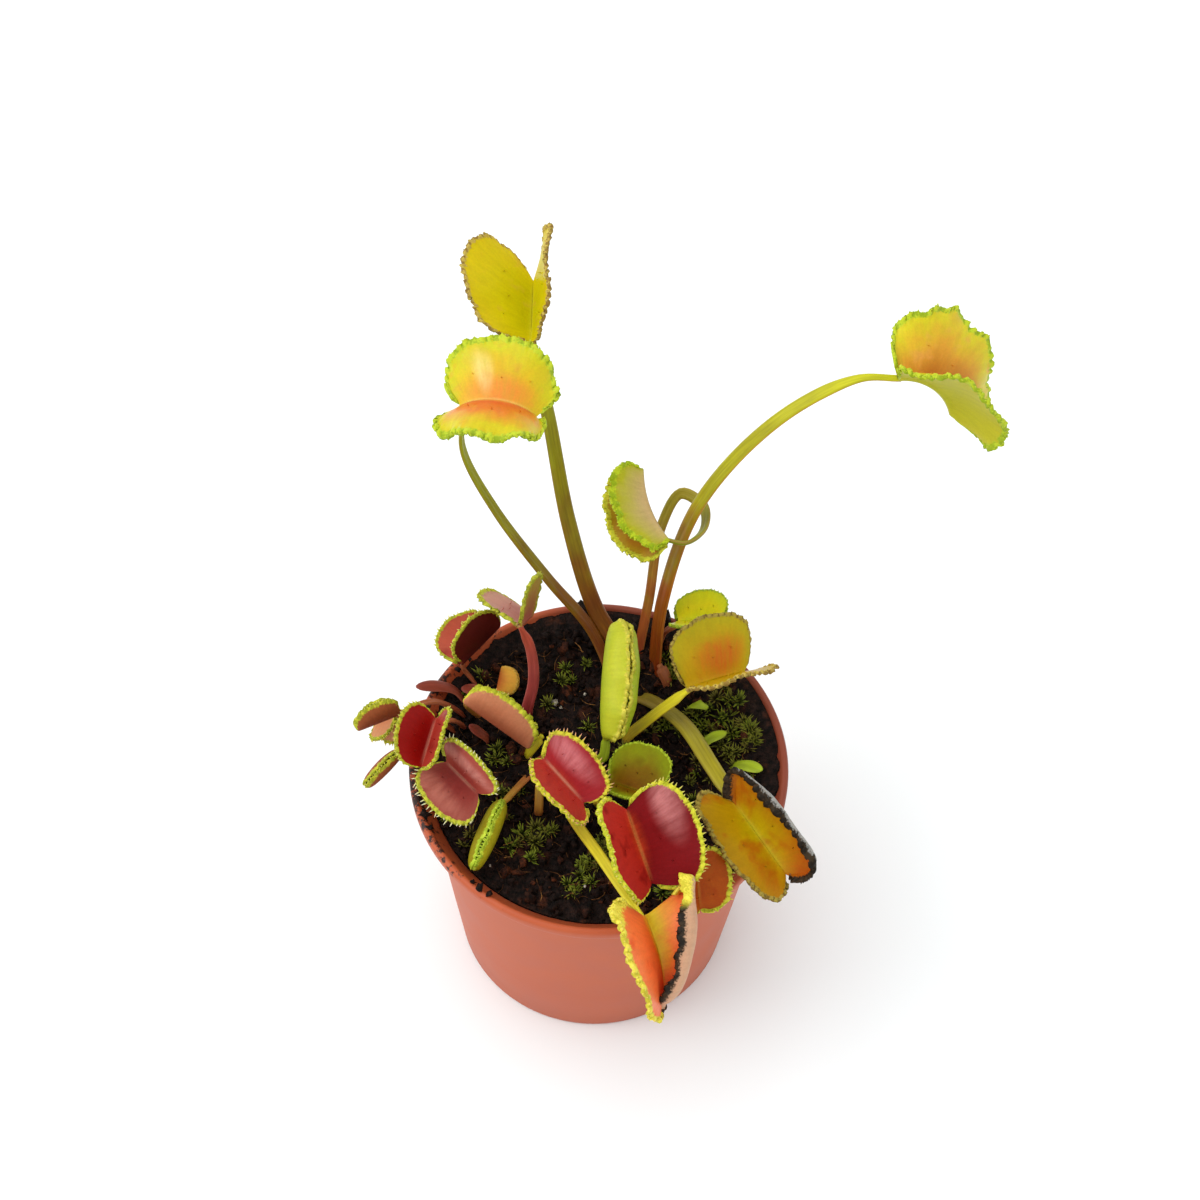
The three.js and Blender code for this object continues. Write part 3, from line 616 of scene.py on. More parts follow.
def grow_moss():
    shape = bent_cone("moss_leaf_shape", sides=4, tip=0, cut=0.5, bend=0.9)
    centres = []
    for x, y, radius, shoots in MOSS_PATCHES:
        centres += list(zip(random.normal(x, radius / 1.8, shoots), random.normal(y, radius / 1.8, shoots)))
    centres = np.array([centre for centre in centres if math.hypot(*centre) < PEAT_RADIUS - 1.5])
    foot = np.repeat(centres, MOSS_LEAVES, axis=0)
    count = len(foot)
    vigour = np.repeat(random.uniform(0.65, 1.25, len(centres)), MOSS_LEAVES)
    turn = random.uniform(0, 2 * math.pi, count)
    rise = random.uniform(0.15, 1.3, count)
    up = np.stack([np.cos(turn), np.sin(turn), np.tan(rise)], axis=1)
    length = random.uniform(1.5, 3.0, count) * vigour
    sizes = np.stack([length * 0.16, random.uniform(0.09, 0.15, count), length], axis=1)
    places = np.column_stack([foot, np.repeat(peat_top(*centres.T), MOSS_LEAVES) + 0.3])
    tint = np.repeat(random.uniform(0, 1, len(centres)), MOSS_LEAVES)
    moss = copies("moss_shoots", shape, turned_frames(up, sizes, turn * 0), places, tint=tint)
    write_attribute(moss, "height", np.tile(read_points(shape)[:, 2], count))
    bpy.data.objects.remove(shape)
    print("moss leaves:", count)
    return moss


def moss_green():
    """Living moss: each shoot is greener or yellower, and paler towards its tips."""
    material, tree, shader = new_material("Moss, living", roughness=0.55, ior=1.4, shine=0.25)
    height = add_node(tree, "Attribute", attribute_name="height").outputs["Fac"]
    tint = add_node(tree, "Attribute", attribute_name="tint").outputs["Fac"]
    greens = [(0.0, "#121304"), (0.45, "#38450c"), (1.0, "#9fb02c")]
    yellows = [(0.0, "#140d04"), (0.45, "#3f3812"), (1.0, "#8f8430")]
    green, yellow = [add_node(tree, "ValToRGB", {0: height}, stops).outputs[0] for stops in (greens, yellows)]
    mixed = add_node(tree, "Mix", {0: tint, 6: green, 7: yellow}, data_type="RGBA")
    tree.links.new(mixed.outputs[2], shader.inputs["Base Color"])
    return material


finish_piece(grow_moss(), moss_green())

# %% [markdown]
# ## The leaves
# One table describes every leaf, in mm and degrees, with nearly the numbers that made the CAD part. A
# trap's midrib starts at base and runs along aim (compass angle, angle above the horizon) for length,
# and the trap opens towards face. bend curls the midrib, and reach is how far the lobes stand past its
# ends. lobes gives each lobe's width and its angle from the mid-plane at the midrib and at the margin.
# The stalk stands in the peat at foot and runs through via, and stalk gives its width at both ends.
# margins names each lobe's kind of margin, skin and rind the colours of trap and stalk, and slots the
# material slots of both.
#
# A few leaves have more: corner replaces reach at the stalk for each lobe, skew moves a lobe's widest
# place, roll is how many mm of its margin curl over, scallop lists bulges and dents of its outline as
# (share of the length, mm), crowd gathers the grid's columns near the stalk, and fresh is how many mm of
# a dark margin are still young and yellow.

# %% The table of leaves
EVEN = [(0, 0), (1, 0)]
LEAVES = [
    dict(name="tall_back", slots=("amber", "olive"), skin="olive yellow", rind="olive tall",
         base=(-18, 63, 140), aim=(91, 12), face=(-161, 64), length=14.5, reach=(0.5, 8),
         lobes=[(16, 39, 40), (15, 48, 24)], wave=0.5, margins=["tan"] * 2,
         scallop=([(0, 0), (0.1, -0.9), (0.2, -0.7), (0.3, 0.2), (0.5, 0.8), (0.75, 0.8), (0.88, 0.3),
                   (0.93, -0.5), (1, 0)], EVEN),
         foot=(5, 31), via=[(-2, 37, 76), (-9, 48, 95), (-14, 61, 115), (-17, 65, 130)], stalk=(4.4, 2.9)),
    dict(name="tall_left", slots=("orange", "olive"), skin="sunset", rind="olive tall",
         base=(-32, 46, 138.5), aim=(6, 35), face=(150, 52), length=17, bend=-75, reach=(2.5, 1.5),
         lobes=[(15, 55, 58), (15, 55, 108)], wave=0.9, margins=["lime frill"] * 2,
         scallop=([(0, 0), (0.08, 1.1), (0.18, 0.3), (0.5, 0.2), (0.7, -0.8), (0.8, -1.8), (0.9, 0), (1, 0)],
                  [(0, 0), (0.12, 1.8), (0.25, 1.4), (0.5, 1.0), (0.9, 0.8), (1, 0)]),
         foot=(2, 26), via=[(-3, 33, 74), (-13, 37, 88), (-25, 42, 107), (-32, 45, 125)], stalk=(3.6, 2.3)),
    dict(name="tall_right", slots=("orange", "olive"), skin="peach", rind="yellow tall",
         base=(61, 60, 137), aim=(6, -4), face=(79, 75), length=18, bend=-75, reach=(1.5, 4),
         lobes=[(18, 30, 62), (15, 40, 60)], wave=0.9, margins=["lime frill"] * 2,
         scallop=([(0, 0), (0.2, -0.3), (0.3, -1.2), (0.42, 1.6), (0.49, -1.0), (0.55, 0.3), (0.63, -1.6),
                   (0.7, -1.4), (0.76, 1.5), (0.88, 0), (1, 0)],
                  [(0, 0), (0.3, 0), (0.6, 1.4), (0.75, 1.2), (0.9, 2), (1, 0)]),
         foot=(12, 27), via=[(13, 35, 84), (20, 45, 109), (36, 53, 130), (52, 59, 137)], stalk=(4.6, 2.8)),
    dict(name="curled", slots=("lime", "rust"), skin="green gold", rind="rust to olive",
         base=(13, 36, 106), aim=(128, 5), face=(-143, -13), length=19, bend=-38, reach=(1, 1),
         lobes=[(10, 26, -8), (9, 48, 18)], wave=0.7, margins=("yellow frill", "lime frill"),
         foot=(8, 31), via=[(10, 38, 80), (12, 48, 95), (16, 53, 101), (21, 49, 102), (21, 41, 104),
                            (17, 36, 106)],
         stalk=(2.8, 2.6)),
    dict(name="closed_green", slots=("lime", "olive"), skin="lime", rind="lime",
         base=(1.6, 5, 73), aim=(88, 26), face=(-39, 53), length=25, reach=(1, 1.5),
         lobes=[(12.5, 84, -82), (12.5, 84, -80.5)], wave=0.4, margins=["gold frill"] * 2,
         foot=(0, 3), via=[(1, 3, 68)], stalk=(2.6, 2.2)),
    dict(name="right_open", slots=("amber", "olive"), skin="amber glow", rind="yellow",
         base=(19, 12, 84), aim=(25, -7), face=(79, 78), length=14, reach=(2.5, 4),
         lobes=[(13.5, 43, 45), (13.5, 43, 43)], wave=0.4, margins=("olive brown", "tan"),
         scallop=([(0, 0), (0.2, 1.2), (0.5, 1.1), (0.8, 1.2), (1, 0)], EVEN),
         foot=(6, 9), via=[(10, 10, 72)], stalk=(3.2, 2.8)),
    dict(name="right_back", slots=("lime", "rust"), skin="lime yellow", rind="rust",
         base=(17, 32, 80), aim=(-5, 18), face=(123, 62), length=10, reach=(1.5, 1.5),
         lobes=[(8, 60, 66)] * 2, wave=0.2, margins=["green"] * 2,
         foot=(13, 32), via=[(14, 33, 74)], stalk=(2.2, 1.8)),
    dict(name="rim_right", slots=("amber", "lime"), skin="amber rust", rind="pale green",
         base=(30, -16, 82), aim=(-50, -18), face=(-111, 57), length=18, reach=(7, 4.5),
         roll=(2.2, 0), lobes=[(13, 62, 8, 26), (10, 43, 53)], wave=0.4, margins=("charred", "olive brown"),
         foot=(9, 20), via=[(18, 10, 73), (25, -5, 79)], stalk=(4.6, 3.8)),
    dict(name="rim_front", slots=("orange", "lime"), skin="coral", rind="yellow",
         base=(10.6, -44.8, 84.5), aim=(-58, -25), face=(-8, 55), length=19, bend=-40, reach=(4, 1),
         corner=(3.5, 5.5), skew=(0.36, 0.85), roll=(6.2, 0), crowd=1.7, fresh=6,
         lobes=[(17.5, 90, 50, -110), (15, 55, 72)], wave=0.6, margins=("charred", "gold teeth"),
         foot=(-8, -6), via=[(-5, -15, 71), (1, -28, 79)], stalk=(2.6, 2.4)),
    dict(name="centre_red", slots=("red", "rust"), skin="rose red", rind="rust",
         base=(-12, -9, 86), aim=(-37, -29), face=(8, 52), length=12.5, reach=(3, 3),
         lobes=[(10.5, 75, 67), (11.5, 69, 73)], wave=0.3, margins=["pink teeth"] * 2,
         foot=(-12, 3), via=[(-13, -3, 76)], stalk=(2.2, 1.8)),
    dict(name="front_red", slots=("red", "olive"), skin="crimson", rind="yellow",
         base=(6, -24.2, 92.8), aim=(-66, -25), face=(-29, 59), length=16, reach=(4, 3.5),
         lobes=[(13.8, 53, 61), (14.5, 59, 47)], wave=0.4, margins=["lime teeth"] * 2,
         foot=(0, -8), via=[(3, -16, 80)], stalk=(2.2, 1.8)),
    dict(name="behind_red", slots=("orange", "rust"), skin="burnt orange", rind="pale green",
         base=(21, -28, 80), aim=(-80, -34), face=(-27, 42), length=11, reach=(2, 1),
         lobes=[(8, 58, 64), (8, 50, 70)], wave=0.3, margins=["lime teeth"] * 2,
         foot=(11, -3), via=[(14, -10, 70), (18, -19, 76)], stalk=(2.2, 2)),
    dict(name="centre_green", slots=("olive", "olive"), skin="bottle", rind="lime",
         base=(2.8, -6, 72), aim=(-26, 14), face=(97, 65), length=10.5, reach=(2, 2.5),
         lobes=[(11, 40, 50), (4.5, 70, 80)], wave=0.3, margins=["green"] * 2,
         foot=(2, -2), via=[(3, -5, 68)], stalk=(2.2, 1.8)),
    dict(name="left_back_dark", slots=("red", "rust"), skin="red with painted shade", rind="rust",
         base=(-32, 19, 80), aim=(49, 6), face=(144, 38), length=12.5, reach=(1.5, 0.5),
         lobes=[(10, 52, 28), (10, 54, 27)], wave=0.2, margins=["small teeth"] * 2,
         foot=(-28, 20.5), via=[(-31.5, 21.5, 73)], stalk=(2.2, 1.6)),
    dict(name="left_back_pink", slots=("maroon", "rust"), skin="dusty pink", rind="maroon",
         base=(-18.9, 21, 93.2), aim=(68, -38), face=(126, 51), length=8.5, reach=(1, 1),
         lobes=[(12, 42, 46), (11.5, 30, 34)], wave=0.2, margins=["wide green"] * 2,
         foot=(-17, 15), via=[(-15.6, 19, 73), (-16.4, 21, 84)], stalk=(3.2, 2)),
    dict(name="left_red", slots=("red", "rust"), skin="blood red", rind="rust",
         base=(-36, 0, 86), aim=(-103, -12), face=(-152, 72), length=11, reach=(2.5, 1),
         lobes=[(8.5, 48, 31), (8.5, 44, 41)], wave=0.2, margins=["small teeth"] * 2,
         foot=(-31, 10), via=[(-33, 5, 78)], stalk=(2.2, 1.6)),
    dict(name="left_low_red", slots=("maroon", "rust"), skin="plum red", rind="rust",
         base=(-33, -7, 80), aim=(-43, -8), face=(-128, 53), length=9.5, reach=(3, 4),
         lobes=[(10, 44, 53), (10, 52, 53)], wave=0.2, margins=["white teeth"] * 2,
         foot=(-29, 4), via=[(-31, -2, 72)], stalk=(2.2, 1.6)),
    dict(name="far_left", slots=("maroon", "rust"), skin="brown pink", rind="rust",
         base=(-45, 4, 82), aim=(-147, 6), face=(108, 66), length=9.5, reach=(0.5, 0.5),
         lobes=[(5.5, 62, -58)] * 2, wave=0.2, margins=["small teeth"] * 2,
         foot=(-31, 13), via=[(-38, 9, 79)], stalk=(2, 1.4)),
    dict(name="far_left_low", slots=("maroon", "rust"), skin="apricot", rind="rust",
         base=(-45.3, 5.3, 77.6), aim=(159, -48), face=(-90, -17), length=7.5, reach=(0.5, 0.5),
         lobes=[(5.5, 30, 20)] * 2, wave=0.2, margins=["small teeth"] * 2,
         foot=(-33, 9), via=[(-39, 7, 75)], stalk=(1.8, 1.4)),
    dict(name="left_tip", slots=("maroon", "rust"), skin="brown pink", rind="rust",
         base=(-44.1, -2.8, 76.3), aim=(-136, -21), face=(-107, 65), length=10, reach=(0.3, 0.5),
         lobes=[(4.7, 80, -75)] * 2, wave=0.2, margins=["small teeth"] * 2,
         foot=(-33, 6), via=[(-39, 2, 74)], stalk=(1.8, 1.4)),
    dict(name="left_closed", slots=("maroon", "rust"), skin="tan red", rind="rust to tan",
         base=(-30, 10, 78), aim=(-28, -22), face=(44, 38), length=17, reach=(0.8, 0.3),
         lobes=[(7.5, 66, -62)] * 2, wave=0.2, margins=["lime teeth"] * 2,
         foot=(-28, 13), via=[(-30, 12, 72)], stalk=(2.8, 1.8)),
    dict(name="front_closed", slots=("olive", "rust"), skin="olive pod", rind="rust to tan",
         base=(-21, -13, 73.5), aim=(-112, -20), face=(-91, 68), length=15.5, reach=(0.3, 0.3),
         lobes=[(7, 82, -78)] * 2, wave=0.2, margins=["bright seam"] * 2,
         foot=(-15, -1), via=[(-17, -4, 67)], stalk=(2, 1.6)),
    dict(name="young_bud", slots=("orange", "rust"), skin="young gold", rind="rust to tan",
         base=(-23.5, 18.5, 69), aim=(80, 40), face=(-12, 20), length=5.5, reach=(0.3, 0.3),
         lobes=[(5.2, 66, -60)] * 2, wave=0, margins=["plain"] * 2,
         foot=(-24, 16), via=[], stalk=(1.6, 1.4)),
]
print("leaves:", len(LEAVES))

# %% [markdown]
# ## Margins
# The margin tells the leaves apart. On the tall leaves it is a thick lime frill with beads and pleats.
# On the old leaves it is ragged, brown or nearly black. On the young red ones it is a narrow yellow-green
# band with fine pale teeth. Each kind gives the colour of its crests, lighter as a painted highlight, and
# of its hollows, darker as painted shade, the width of the band, the height of its pleats, how ragged its
# outline is, and the teeth's length, spacing and colour.

# %% The kinds of margin
# The crest colour is a painted highlight and the hollow colour painted shade, laid on by the pleats and
# beads.
MARGIN_PARTS = ("lit_crest", "shaded_hollow", "tip", "band", "pleat", "ragged", "tooth", "gap")
MARGIN_ROWS = {
    "lime frill": ("#bccb28", "#88a012", "#ccd848", 1.6, 0.42, 0.8, 0.5, 0.8),
    "yellow frill": ("#d2cf3a", "#a5a824", "#dcdc62", 1.3, 0.35, 0.6, 0.5, 0.8),
    "gold frill": ("#dccf48", "#a8a62a", "#ddd06a", 0.9, 0.3, 0.5, 0.4, 0.9),
    "tan": ("#c2ab52", "#84652e", "#8a6438", 0.9, 0.25, 1.3, 0.4, 0.7),
    "olive brown": ("#a3913f", "#6a5526", "#7c6432", 0.9, 0.25, 0.7, 0.35, 0.7),
    "charred": ("#3c2f20", "#15100b", "#2a2016", 1.3, 0.35, 0.7, 0.6, 0.7),
    "gold teeth": ("#ecdc50", "#bdb32c", "#f0d470", 1.6, 0.35, 0.7, 0.9, 1.3),
    "lime teeth": ("#d0cf3c", "#a3a826", "#dcc878", 1.1, 0.25, 0.4, 1.0, 0.95),
    "pink teeth": ("#d8cf3e", "#aaa628", "#e8a08a", 1.0, 0.2, 0.35, 1.3, 0.95),
    "small teeth": ("#bfc032", "#8d9224", "#d3cc70", 0.8, 0.15, 0.25, 0.75, 0.75),
    "white teeth": ("#c2c63c", "#949a28", "#efe9c8", 0.9, 0.15, 0.3, 1.4, 1.05),
    "green": ("#a2b52c", "#788620", "#a9b844", 0.55, 0.12, 0.3, 0.5, 0.9),
    "wide green": ("#b9bb3a", "#8a8c26", "#bcbc50", 1.2, 0.15, 0.4, 0.5, 0.9),
    "bright seam": ("#c8da42", "#93ab26", "#cfe05c", 0.8, 0.2, 0.3, 0.9, 0.8),
    "plain": ("#d8b24c", "#b88a34", "#d8b24c", 0.4, 0.05, 0.05, 0.0, 1.0),
}
MARGINS = {name: dict(zip(MARGIN_PARTS, row)) for name, row in MARGIN_ROWS.items()}
print("kinds of margin:", len(MARGINS))

# %% [markdown]
# ## Form of a trap
# A lobe is a curved sheet. t goes along it from the stalk (0) to the tip (1), and v goes across: from one
# margin (-1) over the midrib (0) to the other margin (1). Each lobe leaves the midrib at one angle and
# reaches its margin at another, which makes it a hollow shell, and a fourth number turns it further out
# towards the tip. The midrib itself may be curled. This is the form of the CAD solids. The real lobes are
# thinner, and pleated and ragged at the edge. Four things are finer here than in the solids: a closed
# trap also closes at its ends, skew moves a lobe's widest place, roll curls its margin over, and scallop
# gives its outline bulges and dents.

# %% The formula of a lobe
CLOSED_ANGLE = -40
ROLL_TURN = math.radians(185)
OUTLINE_POWER = 0.65
END_SWELL = 1.8


def direction(azimuth, elevation):
    turn, rise = math.radians(azimuth), math.radians(elevation)
    return np.array([math.cos(rise) * math.cos(turn), math.cos(rise) * math.sin(turn), math.sin(rise)])


def trap_axes(leaf):
    """Unit vectors along the midrib, sideways, and out of the open mouth."""
    along, face = direction(*leaf["aim"]), direction(*leaf["face"])
    out = face - along * face.dot(along)
    out /= np.linalg.norm(out)
    return along, np.cross(out, along), out


def pick(leaf, v, number):
    """A lobe's width, its angle at the midrib or the margin, or its turn at the tip, at each v."""
    first, second = [(*lobe, 0)[number] for lobe in leaf["lobes"]]
    return np.where(v > 0, first, second)


def by_hand(leaf, v, name, usual):
    """A pair of values, one for each lobe, that only a few leaves have."""
    first, second = leaf.get(name, (usual, usual))
    return np.where(v > 0, first, second)


def lobe_width(leaf, t, v):
    """A lobe's width in mm at t, with the bulges and dents of its own outline."""
    first, second = leaf.get("scallop", (EVEN, EVEN))
    bulge = np.where(v > 0, np.interp(t, *zip(*first)), np.interp(t, *zip(*second)))
    rounded = np.sin(math.pi * t ** by_hand(leaf, v, "skew", 1)) ** OUTLINE_POWER
    return pick(leaf, v, 0) * rounded + bulge


def swell(share):
    """How the lobes stand past an end of the midrib, from that end on."""
    return END_SWELL * np.sqrt(np.sin(math.pi * share)) * np.cos(math.pi * share / 2) ** 2


def lobe_points(leaf, t, v):
    """Places of the trap's mid-surface, in mm: flat, then bent, rolled and curled with the midrib."""
    along, side, out = trap_axes(leaf)
    r, hand, length = np.abs(v), np.where(v > 0, 1, -1), leaf["length"]
    lean = leaf["reach"][1] * swell(1 - t) - by_hand(leaf, v, "corner", leaf["reach"][0]) * swell(t)
    x = length / 2 * (1 - np.cos(math.pi * t)) + r * lean
    width = lobe_width(leaf, t, v)
    rolled = by_hand(leaf, v, "roll", 0)
    rest = np.maximum(0, width * r - np.maximum(0, width - rolled))
    s = width * r - rest
    start = np.radians(pick(leaf, v, 1) + pick(leaf, v, 3) * t)
    turn = np.radians(pick(leaf, v, 2) - pick(leaf, v, 1))
    turn = turn / np.where(pick(leaf, v, 2) < CLOSED_ANGLE, width, pick(leaf, v, 0))
    turn = np.where(np.abs(turn) < 1e-6, 1e-6, turn)
    bent = start + turn * s
    roll = -ROLL_TURN / np.maximum(rolled, 0.1)
    y = (np.cos(start) - np.cos(bent)) / turn + (np.cos(bent) - np.cos(bent + roll * rest)) / roll
    z = (np.sin(bent) - np.sin(start)) / turn + (np.sin(bent + roll * rest) - np.sin(bent)) / roll
    curl = math.radians(leaf.get("bend", 0)) / length or 1e-6
    forward = (1 / curl - z) * np.sin(curl * x)
    outward = (1 - np.cos(curl * x)) / curl + z * np.cos(curl * x)
    upright = np.array(leaf["base"]) + np.outer(forward, along) + np.outer(outward, out)
    return upright + np.outer(hand * y, side)


def lobe_ways(leaf, t, v):
    """At each point: the way across the lobe, towards higher v, and the way out of its inner face."""
    nudge = 1e-3
    low, high = np.clip(t - nudge, 0.002, 0.998), np.clip(t + nudge, 0.002, 0.998)
    along = unit(lobe_points(leaf, high, v) - lobe_points(leaf, low, v))
    across = unit(lobe_points(leaf, t, v + nudge) - lobe_points(leaf, t, v - nudge))
    return across, unit(np.cross(along, across))


print("widest lobe:", max(lobe[0] for leaf in LEAVES for lobe in leaf["lobes"]), "mm")

# %% [markdown]
# ## Making a trap
# A flat grid is the sheet. Its rows crowd towards the margins, where the frills need points. It is bent
# into the two lobes by the formula, and its edge is pleated and made ragged. A Solidify modifier gives it
# thickness, more at the midrib and in the frill than in the lobe, and a Displace modifier makes the frill
# lumpy. The teeth are small cones, modelled once and set along the margin.

# %% Bend and pleat the sheet
ENDS = 0.015
ROWS = 52
COLUMNS_PER_MM = 10
EDGE_STEPS = 500
LOBE_THICKNESS = 0.42
FRILL_THICKNESS = 0.5
KEEL_THICKNESS = 1.1
THICKEST = 2.4
WAVES_PER_MM = 0.2


def falloff(distance, reach):
    """Is 1 at no distance and has nearly faded away at twice the reach."""
    return np.exp(-((distance / reach) ** 2))


def near_ends(t):
    """Is 1 along most of the margin and sinks to 0 at its two ends."""
    return np.minimum(1, np.sin(math.pi * t) * 2.2)


def waves(leaf, t, v):
    """How far the long waves of a margin lift the sheet, in mm."""
    return leaf["wave"] * v**4 * np.sin(WAVES_PER_MM * leaf["length"] * t * 2 * math.pi + v)


def edge_run(leaf, hand, seed):
    """Along one margin: t, the distance in mm from the stalk, and two smooth random runs."""
    t = np.linspace(ENDS, 1 - ENDS, EDGE_STEPS)
    run = distances(lobe_points(leaf, t, np.full(EDGE_STEPS, float(hand))))
    slow = np.array([noise.noise(Vector((a / 3.1, seed, 0))) for a in run])
    fast = np.array([noise.noise(Vector((a / 0.7, seed + 40, 0))) for a in run])
    return t, run, slow, fast


def margin_form(kind, t, margin):
    """At t on one margin: the pleats, from -1 to 1, and how far the ragged outline strays, in mm."""
    run, slow, fast = [np.interp(t, margin[0], values) for values in margin[1:]]
    folds = np.sin(2 * math.pi * run / (1.4 * kind["band"] + 0.4) + 6 * slow)
    return folds, kind["ragged"] * (slow + 0.7 * fast)


def flat_sheet(leaf):
    """The grid before it is bent, with t and v at each of its points."""
    columns = int(np.clip(leaf["length"] * COLUMNS_PER_MM, 90, 180))
    rows = ROWS if leaf["length"] > 12 else ROWS * 3 // 4
    bpy.ops.mesh.primitive_grid_add(x_subdivisions=columns, y_subdivisions=rows, size=2)
    sheet = bpy.context.object
    sheet.name = "trap_sheet_" + leaf["name"]
    x, y, _ = read_points(sheet).T
    t = ENDS + ((x + 1) / 2) ** leaf.get("crowd", 1) * (1 - 2 * ENDS)
    v = np.sign(y) * (0.45 * np.abs(y) + 0.275 * (1 - np.cos(math.pi * y)))
    return sheet, t, np.where(np.abs(v) < 1e-6, 0.0, v)


def add_group(piece, name, weights):
    group = piece.vertex_groups.new(name=name)
    for number, weight in enumerate(np.clip(weights, 0, 1)):
        if weight > 0.002:
            group.add([number], float(weight), "REPLACE")


def trap_sheet(leaf, seed):
    """The trap's pleated mid-surface, with what its material and its modifiers read."""
    sheet, t, v = flat_sheet(leaf)
    across_mm, ends = v * lobe_width(leaf, t, v), near_ends(t)
    edge = (1 - np.abs(v)) * lobe_width(leaf, t, v)
    across, normal = lobe_ways(leaf, t, v)
    wave, pleat, shift = waves(leaf, t, v), np.zeros_like(t), np.zeros_like(t)
    for lobe, hand in enumerate((1, -1)):
        kind = MARGINS[leaf["margins"][lobe]]
        folds, stray = margin_form(kind, t, edge_run(leaf, hand, seed + 10 * lobe))
        here = np.sign(v) == hand
        fade = falloff(edge, 0.75 * kind["band"]) * ends
        pleat = np.where(here, folds * fade, pleat)
        wave = np.where(here, wave + kind["pleat"] * folds * fade, wave)
        shift = np.where(here, stray * (falloff(edge, 1.6 * kind["band"]) * ends * hand), shift)
    write_points(sheet, lobe_points(leaf, t, v) + normal * wave[:, None] + across * shift[:, None])
    write_attribute(sheet, "lobe_mm", np.stack([leaf["length"] * t, across_mm, pleat], axis=1))
    write_attribute(sheet, "reach", v)
    write_attribute(sheet, "edge_mm", edge)
    first, second = [MARGINS[name]["band"] for name in leaf["margins"]]
    bands = np.where(v > 0, first, second)
    keel = KEEL_THICKNESS * falloff(across_mm, 0.9) * (1 - 0.75 * t)
    frill = FRILL_THICKNESS * np.minimum(1, bands) * falloff(edge, 0.6 * bands)
    slim = 0.35 + 0.65 * np.minimum(1, leaf["length"] / 14)
    add_group(sheet, "thickness", (LOBE_THICKNESS + keel * slim + frill) / THICKEST)
    add_group(sheet, "frill", falloff(edge, 0.8 * bands) * ends * np.minimum(1, bands))
    return sheet


print("one margin of the first trap:", round(edge_run(LEAVES[0], 1, 0)[1][-1], 1), "mm")

# %% Thicken the sheet
BEAD_SIZE = 0.5
BEAD_HEIGHT = 0.55
lumpy = bpy.data.textures.new("Frill lumps", "CLOUDS")
lumpy.noise_scale = BEAD_SIZE * MM
lumpy.noise_depth = 2


def thicken(sheet):
    """Gives the sheet its thickness and its lumpy frill."""
    original = len(sheet.data.vertices)
    solid = sheet.modifiers.new("Leaf thickness", "SOLIDIFY")
    solid.thickness = THICKEST * MM
    solid.offset = -0.3
    solid.vertex_group = "thickness"
    beads = sheet.modifiers.new("Frill lumps", "DISPLACE")
    beads.texture = lumpy
    beads.texture_coords = "LOCAL"
    beads.vertex_group = "frill"
    beads.strength = BEAD_HEIGHT * MM
    apply_modifiers(sheet)
    inside = np.zeros(len(sheet.data.vertices))
    inside[:original] = 1
    write_attribute(sheet, "inside", inside)
    sheet.vertex_groups.clear()


# %% Set the teeth and the hairs
TOOTH_SUNK = 0.12
HAIR_SIZE = (0.13, 0.13, 1.1)
tooth_shape = bent_cone("tooth_shape", sides=5, tip=0.12, cut=0.45, bend=0.55)


def trap_teeth(leaf, seed):
    """The teeth of each margin that has them, one piece for each."""
    out = trap_axes(leaf)[2]
    made = []
    for lobe, hand in enumerate((1, -1)):
        kind = MARGINS[leaf["margins"][lobe]]
        if kind["tooth"] == 0:
            continue
        margin = edge_run(leaf, hand, seed + 10 * lobe)
        run_t, run = margin[:2]
        places = np.arange(kind["gap"] * 0.5, run[-1], kind["gap"])
        places = places + random.uniform(-0.25, 0.25, len(places)) * kind["gap"]
        t = np.interp(places, run, run_t)
        t = t[(t > 0.06) & (t < 0.94)]
        count, ends = len(t), near_ends(t)
        v = np.full(count, float(hand))
        across, normal = lobe_ways(leaf, t, v * 0.999)
        folds, stray = margin_form(kind, t, margin)
        lift = waves(leaf, t, v) + kind["pleat"] * ends * folds
        shift = hand * (stray * ends - TOOTH_SUNK)
        foot = lobe_points(leaf, t, v) + normal * lift[:, None] + across * shift[:, None]
        up = unit(across * hand + 0.25 * out + 0.3 * random.normal(size=(count, 3)))
        length = kind["tooth"] * random.uniform(0.6, 1.25, count)
        width = np.minimum(0.26, 0.16 + 0.14 * length)
        frames = turned_frames(up, np.stack([width, width, length], axis=1), any_spin(count))
        lobe_mm = np.stack([leaf["length"] * t, v, v * 0], axis=1)
        teeth = copies("teeth", tooth_shape, frames, foot, lobe_mm=lobe_mm, reach=v, inside=v * 0 + 0.5)
        write_attribute(teeth, "edge_mm", -np.tile(read_points(tooth_shape)[:, 2], count))
        made.append(teeth)
    return made


def trigger_hairs(leaf):
    """Three hairs on the inner face of each lobe, which trip the trap when they are touched."""
    t = np.tile([0.34, 0.5, 0.66], 2)
    v = np.repeat([0.42, -0.42], 3) + np.tile([0.05, -0.06, 0.05], 2)
    normal = lobe_ways(leaf, t, v)[1]
    frames = turned_frames(normal, np.tile([HAIR_SIZE], (6, 1)), np.arange(6.0))
    lobe_mm = np.stack([leaf["length"] * t, v * lobe_width(leaf, t, v), v * 0], axis=1)
    return copies("hairs", tooth_shape, frames, lobe_points(leaf, t, v) + normal * 0.1,
                  lobe_mm=lobe_mm, reach=v, inside=v * 0 + 1, edge_mm=v * 0 + 9)


print("points of one tooth:", len(tooth_shape.data.vertices))
